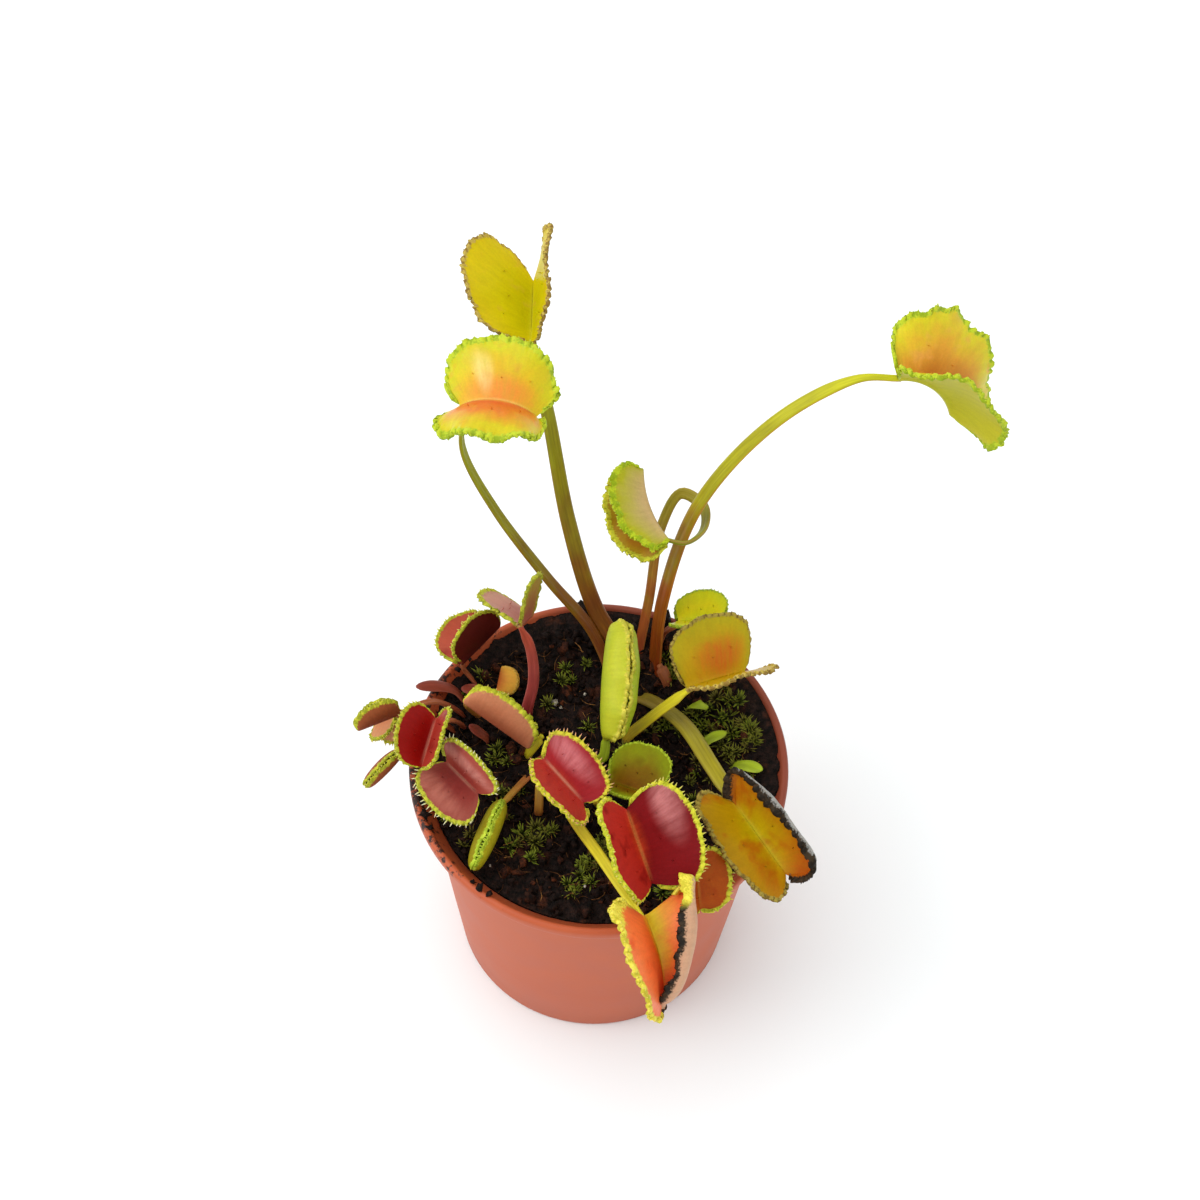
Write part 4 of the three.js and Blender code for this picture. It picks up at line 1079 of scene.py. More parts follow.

# %% [markdown]
# ## Skin of the traps
# The skin is living leaf tissue under a thin waxy cuticle. Inside, the lobes are the colour of the
# pigment: deep red and glossy on the young traps, orange to yellow on the tall ones. A pale line follows
# the midrib, fine grooves run across each lobe, and tiny glands make the surface grainy. Each skin gives
# colours for the inside of both lobes (near the midrib, middle, near the margin) and for their backs (near
# the midrib, near the margin), the midrib's colour, and colours for patches and for the tip, each with
# its share. Some have spots, which are single soft patches: colour, place as t and v, length and width in
# mm, and strength. Most spots are patches of pigment, but the pale pink ones on the red traps and the pale
# streak on the sunset trap are painted highlights. A few backs carry painted light too, noted at their
# skins. gloss is how strongly the surface mirrors.

# %% The colours of the skins
SKINS = {
    "olive yellow": dict(
        inner=[("#b7ae04", "#c4b706", "#cbb60c")] * 2,
        back=[("#938c14", "#866220")] * 2,
        rib="#d4cc40", patch=("#c8a034", 0.05), tip=("#ccb50c", 0.2)),
    "sunset": dict(
        inner=[("#d8a22c", "#d2ac16", "#c6c212"), ("#cf5226", "#d6741e", "#cabc12")],
        back=[("#b0b21a", "#bcc024")] * 2,
        rib="#e6d470", patch=("#d8942c", 0.1), tip=("#c4b410", 0.15), gloss=0.3,
        # The second spot, pale and narrow, is a painted highlight.
        spots_and_highlights=[("#dd7a2c", 0.5, 0.18, 6, 5, 0.75), ("#f2dc96", 0.4, 0.45, 1.3, 7, 0.5)]),
    "peach": dict(
        inner=[("#bd7614", "#d69a2c", "#d0c41c"), ("#c77e18", "#c8981c", "#c8bc18")],
        back=[("#b0b01c", "#b8ac28"), ("#b2ae18", "#bab428")],
        rib="#dcc040", patch=("#dd9a48", 0.15), tip=("#b88818", 0.25), gloss=0.25,
        spots_and_highlights=[("#ac5412", 0.72, 0.25, 5.5, 7, 0.75)]),
    "green gold": dict(
        inner=[("#a0601c", "#a8661a", "#a8861c"), ("#94901a", "#a0961c", "#aca224")],
        # The pale pinkish tan next to the midrib on both backs is a painted highlight along the keel.
        back=[("#b8985e", "#a8a020"), ("#bca06c", "#aaa820")],
        rib="#b08a3a", patch=("#9a7a14", 0.1), tip=("#a89c14", 0.1)),
    "lime": dict(
        inner=[("#9ab020", "#a4b828", "#b4c030")] * 2,
        back=[("#93a81c", "#b8bc24"), ("#8ca61c", "#a4b420")],
        rib="#9cae22", patch=("#9ab020", 0.1), tip=("#aeb028", 0.1), gloss=0.35),
    "amber glow": dict(
        inner=[("#b89210", "#b4920e", "#a89a16"), ("#b59008", "#b8940c", "#ac9014")],
        back=[("#a8961c", "#b89c54")] * 2,
        rib="#b49a10", patch=("#b87c14", 0.1), tip=("#b08c14", 0.1),
        spots_and_highlights=[("#bd4c18", 0.58, 0.35, 4.5, 6.5, 0.8)]),
    "lime yellow": dict(
        inner=[("#b6b60c", "#c4b80e", "#b6ba10")] * 2,
        back=[("#a6af0e", "#b0b010")] * 2,
        rib="#b0b40c", patch=("#c0b010", 0.1), tip=("#b5b80e", 0.1)),
    "amber rust": dict(
        inner=[("#b49a06", "#b0800c", "#b0640c"), ("#b49c04", "#b48c06", "#a88008")],
        # The grey next to the margin on the first lobe's back is a painted highlight.
        back=[("#8c8030", "#9a9892"), ("#a08e1c", "#a48c30")],
        rib="#c8c030", patch=("#a85808", 0.3), tip=("#b0580c", 0.3),
        spots_and_highlights=[("#b24a10", 0.85, 0.5, 6, 7, 0.75), ("#a04a0a", 0.7, -0.4, 4.5, 3.5, 0.65)]),
    "coral": dict(
        inner=[("#d2ac1c", "#ee7a3c", "#ee5c30"), ("#e2521e", "#f46c34", "#f07c40")],
        back=[("#b8805c", "#c69a7a"), ("#c0a428", "#c4a82e")],
        rib="#d8bc22", patch=("#e05a28", 0.15), tip=("#dc4c18", 0.3), gloss=0.25,
        spots_and_highlights=[("#ccb41e", 0.2, 0.05, 9, 3.5, 0.85)]),
    "rose red": dict(
        inner=[("#a01c20", "#a4242a", "#a02a30"), ("#ac2820", "#b42c24", "#b03028")],
        back=[("#8c3430", "#a05040")] * 2,
        rib="#e0a284", patch=("#981c22", 0.15), tip=("#a62a2e", 0.15),
        gloss=0.1,
        # The second spot, pale pink, is a painted highlight.
        spots_and_highlights=[("#b83a20", 0.45, 0, 5, 2.5, 0.5), ("#d88488", 0.38, 0.55, 5.2, 4, 0.66)]),
    "crimson": dict(
        inner=[("#780a0c", "#781014", "#741418"), ("#ac2418", "#b42c20", "#ae2c24")],
        back=[("#82281e", "#a0482e")] * 2,
        rib="#dd9a50", patch=("#6c0608", 0.2), tip=("#8a1012", 0.2),
        gloss=0.06,
        # The second spot, pale pink, is a painted highlight.
        spots_and_highlights=[("#c04018", 0.42, 0, 6, 2.8, 0.6), ("#cc8482", 0.27, 0.64, 5.6, 4.8, 0.7)]),
    "burnt orange": dict(
        inner=[("#a84a10", "#ac5212", "#a84c10"), ("#9c3c0c", "#a4460e", "#a65412")],
        back=[("#74220e", "#8c421c")] * 2,
        rib="#c8943a", patch=("#9e380a", 0.15), tip=("#a04008", 0.15)),
    "bottle": dict(
        inner=[("#6c4206", "#72580a", "#7a8210")] * 2,
        back=[("#5a4806", "#6e6c12")] * 2,
        rib="#7a7410", patch=("#5c3c04", 0.15), tip=("#6a6608", 0.2), gloss=0.03),
    # Its backs are painted nearly black as painted shade of the side turned from the light; the inside of the
    # second lobe is nearly black as well.
    "red with painted shade": dict(
        inner=[("#9c3424", "#b04a36", "#ac4e38"), ("#380804", "#420a06", "#52140c")],
        back=[("#3c0a07", "#541510")] * 2,
        rib="#7c2c20", patch=("#882618", 0.15), tip=("#74200f", 0.2)),
    "dusty pink": dict(
        inner=[("#b0685c", "#b87a6c", "#bc8a72"), ("#a86c28", "#ae7c28", "#a68a22")],
        back=[("#985040", "#a48434")] * 2,
        rib="#a85040", patch=("#a86458", 0.15), tip=("#b07c68", 0.2)),
    "blood red": dict(
        inner=[("#98281e", "#9c3328", "#a03c2c"), ("#780402", "#840805", "#8c1410")],
        back=[("#8a3a2a", "#9c5034")] * 2,
        rib="#d89880", patch=("#740604", 0.2), tip=("#8c1008", 0.15)),
    "plum red": dict(
        inner=[("#8c302a", "#9c4438", "#a24c40"), ("#802822", "#8c3830", "#984c40")],
        back=[("#8a3a2c", "#985034")] * 2,
        rib="#e0a88c", patch=("#78201c", 0.2), tip=("#8a3830", 0.15),
        # Both spots, pale pink, are painted highlights.
        spots_and_highlights=[("#cc8a7e", 0.45, 0.5, 6, 3, 0.65), ("#c07a68", 0.35, -0.65, 5, 3.5, 0.5)]),
    "brown pink": dict(
        inner=[("#803220", "#8a3e26", "#964c30")] * 2,
        back=[("#74301a", "#8e4a28")] * 2,
        rib="#a06040", patch=("#6a2a16", 0.15), tip=("#8c4828", 0.2)),
    "apricot": dict(
        inner=[("#b8663c", "#c07850", "#c08458")] * 2,
        back=[("#b06840", "#bc8050")] * 2,
        rib="#c08860", patch=("#b05c36", 0.15), tip=("#c08850", 0.2)),
    "tan red": dict(
        inner=[("#a85236", "#b06444", "#b47050")] * 2,
        back=[("#a85840", "#c8987a"), ("#a4583a", "#bc7854")],
        rib="#b06c4c", patch=("#9c5030", 0.15), tip=("#b8704e", 0.2)),
    "olive pod": dict(
        inner=[("#90881a", "#98901c", "#a09c20")] * 2,
        back=[("#a29c14", "#a8a01c"), ("#786810", "#8c8014")],
        rib="#8f9018", patch=("#8a6a14", 0.15), tip=("#a09c1c", 0.2)),
    "young gold": dict(
        inner=[("#c88a30", "#cc9234", "#d0a03c")] * 2,
        back=[("#be602a", "#dca43c")] * 2,
        rib="#c8843a", patch=("#c4642e", 0.15), tip=("#dcae44", 0.2)),
}

# %% Colour the faces of the lobes
HINGE_FADES = (0.15, 0.9)
HINGE_STRENGTH = 0.5


def streaks(tree, place_mm, per_mm):
    """Grooves or fibres: noise that is drawn out, with about per_mm lumps to the mm along each axis."""
    stretched = add_node(tree, "Mapping", {"Vector": place_mm, "Scale": per_mm}).outputs[0]
    return add_node(tree, "TexNoise", {"Vector": stretched, "Scale": 1.0, "Detail": 3.0}).outputs[0]


def across_lobes(tree, leaf, hand, edge, blotch):
    """Runs from 0 at one margin over 0.5 at the midrib to 1 at the other, with a little drift."""
    wide = add_node(tree, "MapRange", {0: hand, 3: leaf["lobes"][1][0], 4: leaf["lobes"][0][0]}).outputs[0]
    near_edge = add_node(tree, "Math", {0: edge, 1: wide}, operation="DIVIDE").outputs[0]
    far = add_node(tree, "Math", {0: 1.0, 1: near_edge}, operation="SUBTRACT", use_clamp=True).outputs[0]
    signed = add_node(tree, "MapRange", {0: hand, 3: -0.5, 4: 0.5}).outputs[0]
    spread = add_node(tree, "Math", {0: far, 1: signed}, operation="MULTIPLY").outputs[0]
    middle = add_node(tree, "Math", {0: spread, 1: 0.5}, operation="ADD").outputs[0]
    drift = add_node(tree, "MapRange", {0: blotch, 1: 0.3, 2: 0.7, 3: -0.09, 4: 0.09}).outputs[0]
    loose = add_node(tree, "Math", {0: drift, 1: far}, operation="MULTIPLY").outputs[0]
    return add_node(tree, "Math", {0: middle, 1: loose}, operation="ADD").outputs[0]


def lobe_faces(tree, skin, across):
    """The colours of the inside and of the back, from margin to margin."""
    (near0, mid0, far0), (near1, mid1, far1) = skin["inner"]
    inside = [(0.06, far1), (0.94, far0), (0.27, mid1), (0.45, near1), (0.55, near0), (0.73, mid0)]
    (under0, rim0), (under1, rim1) = skin["back"]
    back = [(0.1, rim1), (0.9, rim0), (0.44, under1), (0.56, under0)]
    return [add_node(tree, "ValToRGB", {0: across}, stops).outputs[0] for stops in (inside, back)]


def add_patches(tree, leaf, skin, face, run, blotch):
    """Puts the patches on the inside, and the tip's colour over its far part."""
    colour, share = skin["patch"]
    patches = add_node(tree, "MapRange", {0: blotch, 1: 0.62 - 0.3 * share, 2: 0.78 - 0.3 * share, 3: 0.0,
                                          4: 0.75}).outputs[0]
    patched = add_node(tree, "Mix", {0: patches, 6: face, 7: colour}, data_type="RGBA").outputs[2]
    colour, share = skin["tip"]
    late = add_node(tree, "MapRange", {0: run, 1: 0.45 * leaf["length"], 2: leaf["length"], 3: 0.0,
                                       4: share}).outputs[0]
    return add_node(tree, "Mix", {0: late, 6: patched, 7: colour}, data_type="RGBA").outputs[2]


def add_spots_and_highlights(tree, leaf, skin, face, place_mm, grooves):
    """Puts the spots on the inside, each streaked a little by the grooves: patches of pigment, and on some
    skins painted highlights.
    """
    for colour, at_t, at_v, along_mm, across_mm, strength in skin.get("spots_and_highlights", []):
        centre = (at_t * leaf["length"], at_v * leaf["lobes"][0 if at_v > 0 else 1][0], 0)
        from_centre = add_node(tree, "Mapping", {"Vector": place_mm, "Location": centre,
                                                 "Scale": (along_mm, across_mm, 1)}, vector_type="TEXTURE")
        away = add_node(tree, "VectorMath", {0: from_centre.outputs[0]}, operation="LENGTH").outputs["Value"]
        soft = add_node(tree, "MapRange", {0: away, 1: 1.0, 2: 0.2, 3: 0.0, 4: strength},
                        interpolation_type="SMOOTHSTEP").outputs[0]
        streaked = add_node(tree, "MapRange", {0: grooves, 1: 0.35, 2: 0.65, 3: 0.6, 4: 1.0}).outputs[0]
        share = add_node(tree, "Math", {0: soft, 1: streaked}, operation="MULTIPLY").outputs[0]
        face = add_node(tree, "Mix", {0: share, 6: face, 7: colour}, data_type="RGBA").outputs[2]
    return face


def add_hinge(tree, leaf, skin, face, run, side):
    """Draws the pale line along the midrib, which fades towards both ends."""
    length = leaf["length"]
    from_rib = add_node(tree, "Math", {0: side}, operation="ABSOLUTE").outputs[0]
    near_rib = add_node(tree, "MapRange", {0: from_rib, 1: HINGE_FADES[0], 2: HINGE_FADES[1], 3: 1.0,
                                           4: 0.0}).outputs[0]
    before_tip = add_node(tree, "MapRange", {0: run, 1: 0.9 * length, 2: 0.6 * length, 3: 0.0,
                                             4: HINGE_STRENGTH}).outputs[0]
    past_stalk = add_node(tree, "MapRange", {0: run, 1: 0.05 * length, 2: 0.25 * length}).outputs[0]
    line = add_node(tree, "Math", {0: near_rib, 1: before_tip}, operation="MULTIPLY").outputs[0]
    line = add_node(tree, "Math", {0: line, 1: past_stalk}, operation="MULTIPLY").outputs[0]
    return add_node(tree, "Mix", {0: line, 6: face, 7: skin["rib"]}, data_type="RGBA").outputs[2]


# %% Colour the margins
# The young yellow part of a margin, with the same painted highlight on its crests and painted shade in its
# hollows.
FRESH = dict(lit_crest="#efe052", shaded_hollow="#c6b92c")


def margin_colours(tree, leaf, place, hand, fresh, pleat, edge):
    """The frill, with a painted highlight on its crests and painted shade in its hollows, and the tips of the
    teeth.
    """
    first, second = [MARGINS[kind] for kind in leaf["margins"]]
    lit_crest, shaded_hollow, tip = [
        add_node(tree, "Mix", {0: hand, 6: second[part], 7: first[part]}, data_type="RGBA").outputs[2]
        for part in ("lit_crest", "shaded_hollow", "tip")
    ]
    lit_crest = add_node(tree, "Mix", {0: fresh, 6: lit_crest, 7: FRESH["lit_crest"]}, data_type="RGBA").outputs[2]
    shaded_hollow = add_node(tree, "Mix", {0: fresh, 6: shaded_hollow, 7: FRESH["shaded_hollow"]}, data_type="RGBA").outputs[2]
    # Painted light: the frill is lighter where pleats and beads stand up and darker between them.
    folded = add_node(tree, "Math", {0: pleat, 1: 0.35}, operation="MULTIPLY").outputs[0]
    beads = add_node(tree, "TexNoise", {"Vector": place, "Scale": 1 / (0.5 * MM), "Detail": 1.0}).outputs[0]
    height = add_node(tree, "Math", {0: beads, 1: folded}, operation="ADD").outputs[0]
    relief = add_node(tree, "MapRange", {0: height, 1: 0.3, 2: 0.62, 3: 0.15, 4: 0.95}).outputs[0]
    frill = add_node(tree, "Mix", {0: relief, 6: shaded_hollow, 7: lit_crest}, data_type="RGBA").outputs[2]
    point = add_node(tree, "MapRange", {0: edge, 1: -0.15, 2: -0.9}).outputs[0]
    return add_node(tree, "Mix", {0: point, 6: frill, 7: tip}, data_type="RGBA").outputs[2]


def margin_mask(tree, leaf, hand, fresh, grain, edge):
    """Is 1 on the band along the margin and 0 on the face, with a grainy border."""
    first, second = [MARGINS[kind]["band"] for kind in leaf["margins"]]
    band = add_node(tree, "MapRange", {0: hand, 3: second, 4: first}).outputs[0]
    broad = add_node(tree, "MapRange", {0: fresh, 3: 1.0, 4: 2.2}).outputs[0]
    taper = add_node(tree, "MapRange", {0: grain, 1: 0.2, 2: 0.8, 3: 0.55, 4: 1.25}).outputs[0]
    band = add_node(tree, "Math", {0: band, 1: broad}, operation="MULTIPLY").outputs[0]
    limit = add_node(tree, "Math", {0: band, 1: taper}, operation="MULTIPLY").outputs[0]
    share = add_node(tree, "Math", {0: edge, 1: limit}, operation="DIVIDE").outputs[0]
    return add_node(tree, "MapRange", {0: share, 1: 1.1, 2: 0.75}).outputs[0]


# %% Make the skin of a trap
def trap_skin(leaf):
    """The material of one trap: inside, back, midrib, margin and teeth."""
    skin, title = SKINS[leaf["skin"]], "Leaf tissue with cuticle, " + leaf["name"]
    material, tree, shader = new_material(title, roughness=0.35, ior=1.42, shine=skin.get("gloss", 0.13))
    place = add_node(tree, "TexCoord").outputs["Object"]
    on_lobe = add_node(tree, "Attribute", attribute_name="lobe_mm").outputs["Vector"]
    run, side, pleat = add_node(tree, "SeparateXYZ", {0: on_lobe}).outputs
    reach, edge, inside = [
        add_node(tree, "Attribute", attribute_name=name).outputs["Fac"]
        for name in ("reach", "edge_mm", "inside")
    ]
    hand = add_node(tree, "MapRange", {0: reach, 1: -0.01, 2: 0.01}).outputs[0]
    fresh_mm = leaf.get("fresh", -2)
    fresh = add_node(tree, "MapRange", {0: run, 1: fresh_mm, 2: fresh_mm + 0.7, 3: 1.0, 4: 0.0}).outputs[0]
    blotch = add_node(tree, "TexNoise", {"Vector": place, "Scale": 1 / (4.5 * MM), "Detail": 2.0}).outputs[0]
    grain = add_node(tree, "TexNoise", {"Vector": place, "Scale": 1 / (0.45 * MM), "Detail": 2.0}).outputs[0]
    place_mm = add_node(tree, "CombineXYZ", {0: run, 1: side}).outputs[0]
    grooves = streaks(tree, place_mm, (2.2, 0.22, 1.0))

    inner, back = lobe_faces(tree, skin, across_lobes(tree, leaf, hand, edge, blotch))
    inner = add_patches(tree, leaf, skin, inner, run, blotch)
    inner = add_spots_and_highlights(tree, leaf, skin, inner, place_mm, grooves)
    inner = add_hinge(tree, leaf, skin, inner, run, side)
    face = add_node(tree, "Mix", {0: inside, 6: back, 7: inner}, data_type="RGBA").outputs[2]
    lined = add_node(tree, "MapRange", {0: grooves, 1: 0.3, 2: 0.7, 3: 0.93, 4: 1.05}).outputs[0]
    specks = add_node(tree, "MapRange", {0: grain, 1: 0.3, 2: 0.7, 3: 0.95, 4: 1.04}).outputs[0]
    tone = add_node(tree, "Math", {0: lined, 1: specks}, operation="MULTIPLY").outputs[0]
    face = add_node(tree, "VectorMath", {0: face, 1: tone}, operation="MULTIPLY").outputs[0]
    frill = margin_colours(tree, leaf, place, hand, fresh, pleat, edge)
    mask = margin_mask(tree, leaf, hand, fresh, grain, edge)
    colour = add_node(tree, "Mix", {0: mask, 6: face, 7: frill}, data_type="RGBA").outputs[2]
    tree.links.new(colour, shader.inputs["Base Color"])

    shine = add_node(tree, "MapRange", {0: inside, 3: 0.5, 4: 0.34}).outputs[0]
    dull = add_node(tree, "Mix", {0: mask, 2: shine, 3: 0.55}).outputs[0]
    tree.links.new(dull, shader.inputs["Roughness"])
    both = add_node(tree, "Math", {0: grooves, 1: grain}, operation="ADD").outputs[0]
    bump = add_node(tree, "Bump", {"Height": both, "Strength": 0.25, "Distance": 0.1 * MM})
    tree.links.new(bump.outputs[0], shader.inputs["Normal"])
    shader.inputs["Subsurface Weight"].default_value = 0.08
    shader.inputs["Subsurface Scale"].default_value = 0.6 * MM
    return material


# %% Make every trap
for number, leaf in enumerate(LEAVES):
    sheet = trap_sheet(leaf, 3.7 * number)
    thicken(sheet)
    parts = [sheet, *trap_teeth(leaf, 3.7 * number)]
    if leaf["lobes"][0][2] > CLOSED_ANGLE and leaf["name"] != "rim_front":
        parts.append(trigger_hairs(leaf))
    trap = join(parts)
    trap.name = "lobes_" + leaf["name"]
    finish_piece(trap, trap_skin(leaf), "trap_" + leaf["name"])
    print(trap.name, len(trap.data.polygons), "faces")
bpy.data.objects.remove(tooth_shape)

# %% [markdown]
# ## Stalks
# A stalk is a flat strap, a little hollow along its upper side, with sharp edges. It is red-brown where
# it leaves the peat and turns olive or yellow-green towards the trap. A grid is rolled into a tube along
# a smooth path through the leaf's points, the seam is merged and the ends are filled.

# %% Sweep a strap along a path
STRAP_SIDES = 20
CURVE_STEPS = 24


def blend(low, high, start, end, t):
    return ((end - t) * low + (t - start) * high) / (end - start)


def smooth_path(points, steps):
    """A centripetal Catmull-Rom curve through points, at even distances, with its tangents and length."""
    points = np.array(points, float)
    ends = np.vstack([2 * points[0] - points[1], points, 2 * points[-1] - points[-2]])
    fine = []
    for p, q, r, s in zip(ends, ends[1:], ends[2:], ends[3:]):
        gaps = [np.linalg.norm(far - near) ** 0.5 for near, far in ((p, q), (q, r), (r, s))]
        a, b, c, d = np.cumsum([0] + gaps)
        for t in np.linspace(b, c, CURVE_STEPS, endpoint=False):
            first, second, third = blend(p, q, a, b, t), blend(q, r, b, c, t), blend(r, s, c, d, t)
            fine.append(blend(blend(first, second, a, c, t), blend(second, third, b, d, t), b, c, t))
    fine = np.array(fine + [points[-1]])
    run = distances(fine)
    even = np.linspace(0, run[-1], steps + 1)
    path = np.stack([np.interp(even, run, fine[:, axis]) for axis in range(3)], axis=1)
    return path, unit(np.gradient(path, axis=0)), run[-1]


def strap(name, points, width_at, thickness_of, groove, steps):
    """A strap along points. At its foot the flat side looks back from the way that it leans."""
    path, tangents, length = smooth_path(points, steps)
    flats = np.zeros_like(path)
    flat = (path[0] - path[-1]) * (1, 1, 0)
    for number, tangent in enumerate(tangents):
        flat = flat - tangent * flat.dot(tangent)
        flat = flat / np.linalg.norm(flat)
        flats[number] = flat
    bpy.ops.mesh.primitive_grid_add(x_subdivisions=steps, y_subdivisions=STRAP_SIDES, size=2)
    piece = bpy.context.object
    piece.name = name
    grid = read_points(piece)
    share, turn = (grid[:, 0] + 1) / 2, math.pi * grid[:, 1]
    ring = np.rint(share * steps).astype(int)
    width = width_at(share)
    thickness = thickness_of(width)
    side = width / 2 * np.cos(turn)
    lift = thickness / 2 * np.sin(turn) * np.abs(np.sin(turn)) ** 0.3
    lift = lift - groove * thickness * falloff(side, 0.2 * width) * (np.sin(turn) > 0.1)
    across = np.cross(tangents[ring], flats[ring])
    write_points(piece, path[ring] + across * side[:, None] + flats[ring] * lift[:, None])
    write_attribute(piece, "strap", np.stack([share, np.cos(turn), np.sin(turn)], axis=1))
    write_attribute(piece, "strap_mm", np.stack([share * length, side, lift], axis=1))
    bpy.ops.object.mode_set(mode="EDIT")
    bpy.ops.mesh.select_all(action="SELECT")
    bpy.ops.mesh.remove_doubles(threshold=0.002 * MM)
    bpy.ops.mesh.fill_holes(sides=0)
    bpy.ops.mesh.normals_make_consistent(inside=False)
    bpy.ops.object.mode_set(mode="OBJECT")
    return piece


# %% The skin of the stalks
# The colours of each rind: foot, low, middle, top and edge.
RINDS = {
    "olive tall": ("#6e3309", "#7d4c09", "#877b04", "#979b04", "#8a5c18"),
    "yellow tall": ("#7f2d0d", "#8f4e0d", "#9a9311", "#bab814", "#bc7322"),
    "rust to tan": ("#903b21", "#9d4b24", "#af7330", "#b89235", "#af5c35"),
    "rust to olive": ("#903b21", "#98501f", "#92801c", "#7f8016", "#a0703c"),
    "dull maroon": ("#6a2416", "#7c3424", "#88402c", "#7a3020", "#a05a46"),
    "lime": ("#8c7a20", "#8f9a20", "#94a620", "#9cb022", "#a8b444"),
    "yellow": ("#98711e", "#b69c22", "#cbb924", "#d5cb28", "#bb992d"),
    "rust": ("#7c3020", "#8c3e28", "#96502e", "#a05c36", "#a86048"),
    "pale green": ("#806121", "#8b7921", "#948923", "#9f921a", "#7d6621"),
    "maroon": ("#892523", "#a6423e", "#ba544d", "#ba523e", "#d47d6f"),
}


def stalk_rind(name):
    """Leaf-stalk skin: pigment by the share of the way up, redder edges, and fine fibres along it."""
    foot, low, middle, top, edge = RINDS[name]
    material, tree, shader = new_material("Leaf stalk, ribbed skin, " + name, 0.42, 1.42, shine=0.3)
    place = add_node(tree, "TexCoord").outputs["Object"]
    on_strap = add_node(tree, "Attribute", attribute_name="strap").outputs["Vector"]
    share, side, _ = add_node(tree, "SeparateXYZ", {0: on_strap}).outputs
    mottle = add_node(tree, "TexNoise", {"Vector": place, "Scale": 1 / (7 * MM), "Detail": 2.0}).outputs[0]
    drift = add_node(tree, "MapRange", {0: mottle, 1: 0.3, 2: 0.7, 3: -0.1, 4: 0.1}).outputs[0]
    climb = add_node(tree, "Math", {0: share, 1: drift}, operation="ADD").outputs[0]
    tones = [(0.05, foot), (0.95, top), (0.28, low), (0.55, middle)]
    tone = add_node(tree, "ValToRGB", {0: climb}, stops=tones).outputs[0]
    far = add_node(tree, "Math", {0: side}, operation="ABSOLUTE").outputs[0]
    rim = add_node(tree, "MapRange", {0: far, 1: 0.86, 2: 0.99, 3: 0.0, 4: 0.6}).outputs[0]
    edged = add_node(tree, "Mix", {0: rim, 6: tone, 7: edge}, data_type="RGBA").outputs[2]
    place_mm = add_node(tree, "Attribute", attribute_name="strap_mm").outputs["Vector"]
    fibres = streaks(tree, place_mm, (0.12, 2.4, 2.4))
    lined = add_node(tree, "MapRange", {0: fibres, 1: 0.3, 2: 0.7, 3: 0.78, 4: 1.14}).outputs[0]
    colour = add_node(tree, "VectorMath", {0: edged, 1: lined}, operation="MULTIPLY").outputs[0]
    tree.links.new(colour, shader.inputs["Base Color"])
    bump = add_node(tree, "Bump", {"Height": fibres, "Strength": 0.4, "Distance": 0.15 * MM})
    tree.links.new(bump.outputs[0], shader.inputs["Normal"])
    return material


rinds = {name: stalk_rind(name) for name in RINDS}
print("kinds of stalk:", len(rinds))

# %% Make every stalk
ROOT_DEPTH = 5
NECK = 0.6


def stalk_width(share, foot_width, trap_width):
    """Changes evenly from the foot to the trap, and narrows to a neck under the trap."""
    return (foot_width + (trap_width - foot_width) * share) * (1 - (1 - NECK) * ease(share, 0.84, 0.12))


for leaf in LEAVES:
    along, _, out = trap_axes(leaf)
    points = [(*leaf["foot"], PEAT_LEVEL - ROOT_DEPTH), (*leaf["foot"], PEAT_LEVEL + 1), *leaf["via"],
              tuple(np.array(leaf["base"]) + 0.5 * along - 0.35 * out)]
    steps = int(np.clip(12 + distances(np.array(points))[-1], 20, 110))
    stalk = strap("petiole_" + leaf["name"], points, lambda share: stalk_width(share, *leaf["stalk"]),
                  lambda width: np.maximum(1.15, width * 0.46), 0.24, steps)
    finish_piece(stalk, rinds[leaf["rind"]], "stalk_" + leaf["name"])
print("stalks:", len(LEAVES))

# %% [markdown]
# ## Small leaves, buds and a stub
# Between the leaves stand a few young ones, two buds, and the stub of a leaf that was cut off. They are
# straps of the same kind, with other sections: a leaf tapers at both ends, a bud is fullest near its end.

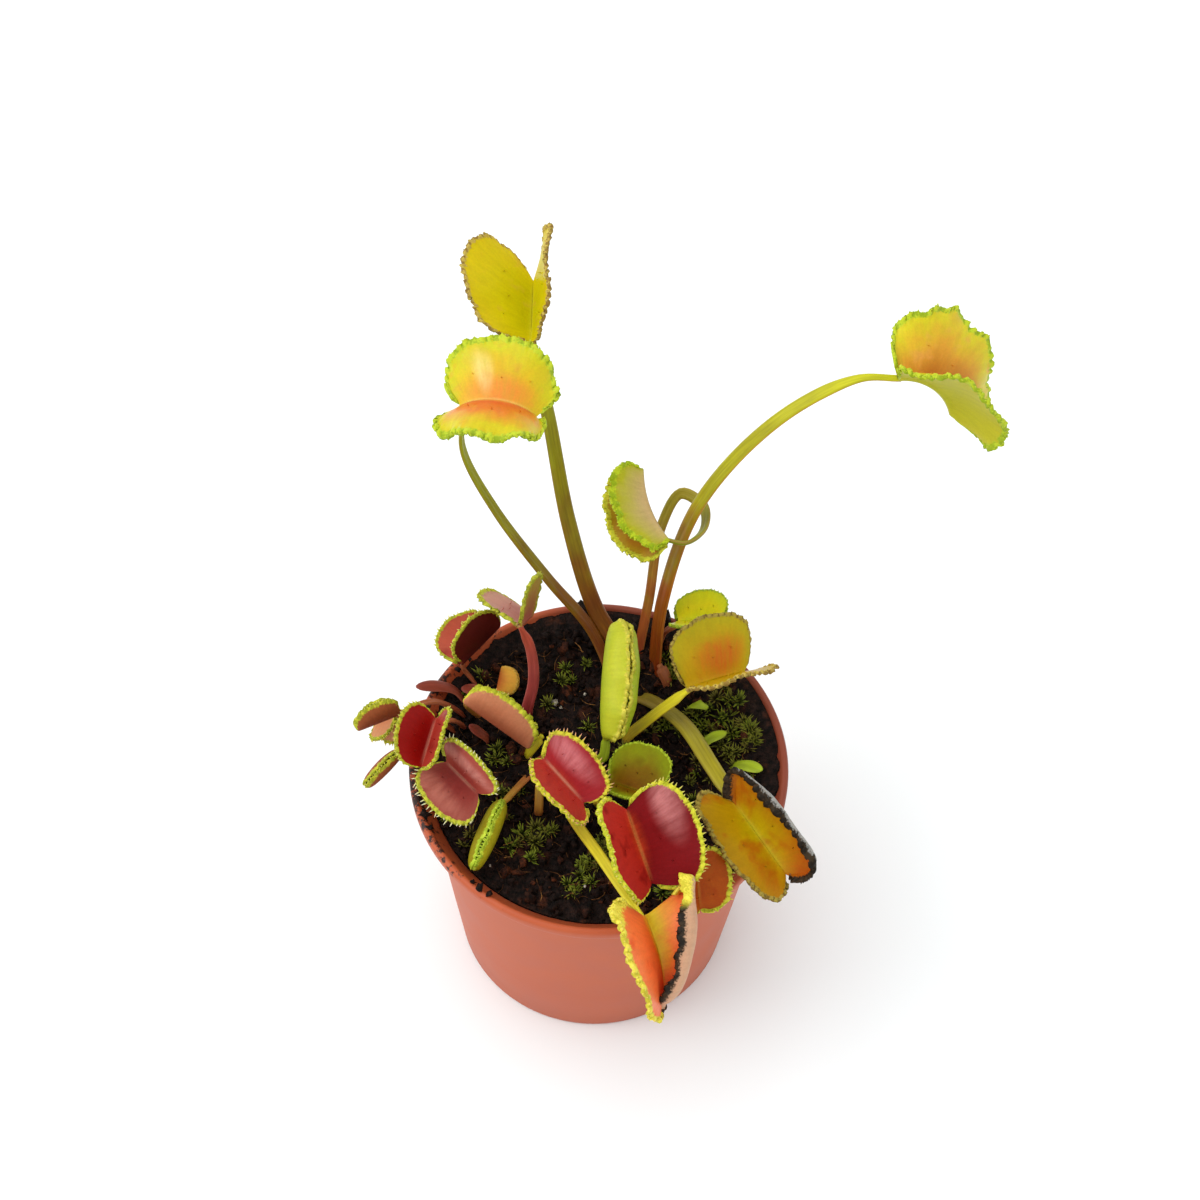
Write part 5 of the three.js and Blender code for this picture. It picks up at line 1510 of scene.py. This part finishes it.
# %% Make the small growth
# Name, form, slot, rind, width in mm, and path.
SMALL = [
    ("stub", "stub", "rust", "rust to tan", 2.2, [(-13, -10, 67), (-13, -7, 71.5)]),
    ("bud_orange", "bud", "orange", "yellow", 2.6, [(-16, 4, 66), (-13, 6, 71)]),
    ("bud_brown", "bud", "rust", "rust", 3, [(15, 24, 67), (13, 26, 71)]),
    ("leaf_over_rim", "spoon", "maroon", "dull maroon", 3.4,
     [(-31, 16, 67), (-33.5, 17.4, 70.4), (-37, 17, 72.6), (-42, 15.7, 74)]),
    ("leaf_left_back", "spoon", "maroon", "dull maroon", 3.2,
     [(-26, 16.5, 67), (-28, 17.8, 69.8), (-32, 17.8, 70.6)]),
    ("leaf_left_low", "spoon", "maroon", "dull maroon", 2.6,
     [(-25.5, 7, 67), (-27.5, 7.3, 69.6), (-29.6, 7.8, 71.2)]),
    ("leaf_right", "spoon", "lime", "lime", 3.2, [(30, 2, 67), (33, 1, 70), (36.6, -0.6, 71)]),
    ("leaf_right_back", "spoon", "olive", "lime", 2.6, [(22, 6, 67), (25, 8, 69.4), (28.6, 9.4, 70)]),
    ("leaf_under_trap", "leaf", "lime", "lime", 4, [(21, 18, 67), (22, 16, 70.5), (24, 14.4, 72)]),
]
SMALL_SHAPES = {
    "stub": lambda share: 1 - 0.15 * share,
    "bud": lambda share: np.where(share > 0.93, 0.5, 0.5 + 0.5 * np.sin(math.pi * (share - 0.25))),
    "leaf": lambda share: 0.25 + 0.75 * np.sin(math.pi * np.minimum(1, 0.15 + 0.83 * share)),
    "spoon": lambda share: (0.5 + 0.5 * np.minimum(1, share / 0.8))
    * np.sqrt(np.clip(1 - ((share - 0.8) / 0.2) ** 2, 0.04, 1) ** np.where(share > 0.8, 1, 0)),
}


def small_thickness(form, width):
    """A bud or a stub is nearly round, and a leaf is flat."""
    return width * 0.8 if form in ("stub", "bud") else np.minimum(0.8, 0.5 * width)


for name, form, slot, rind, widest, path in SMALL:
    points = [(*path[0][:2], PEAT_LEVEL - ROOT_DEPTH), *path]
    piece = strap("growth_" + name, points, lambda share: np.maximum(0.5, widest * SMALL_SHAPES[form](share)),
                  lambda width: small_thickness(form, width), 0.1, 30)
    finish_piece(piece, rinds[rind], name)
print("small growth:", len(SMALL))
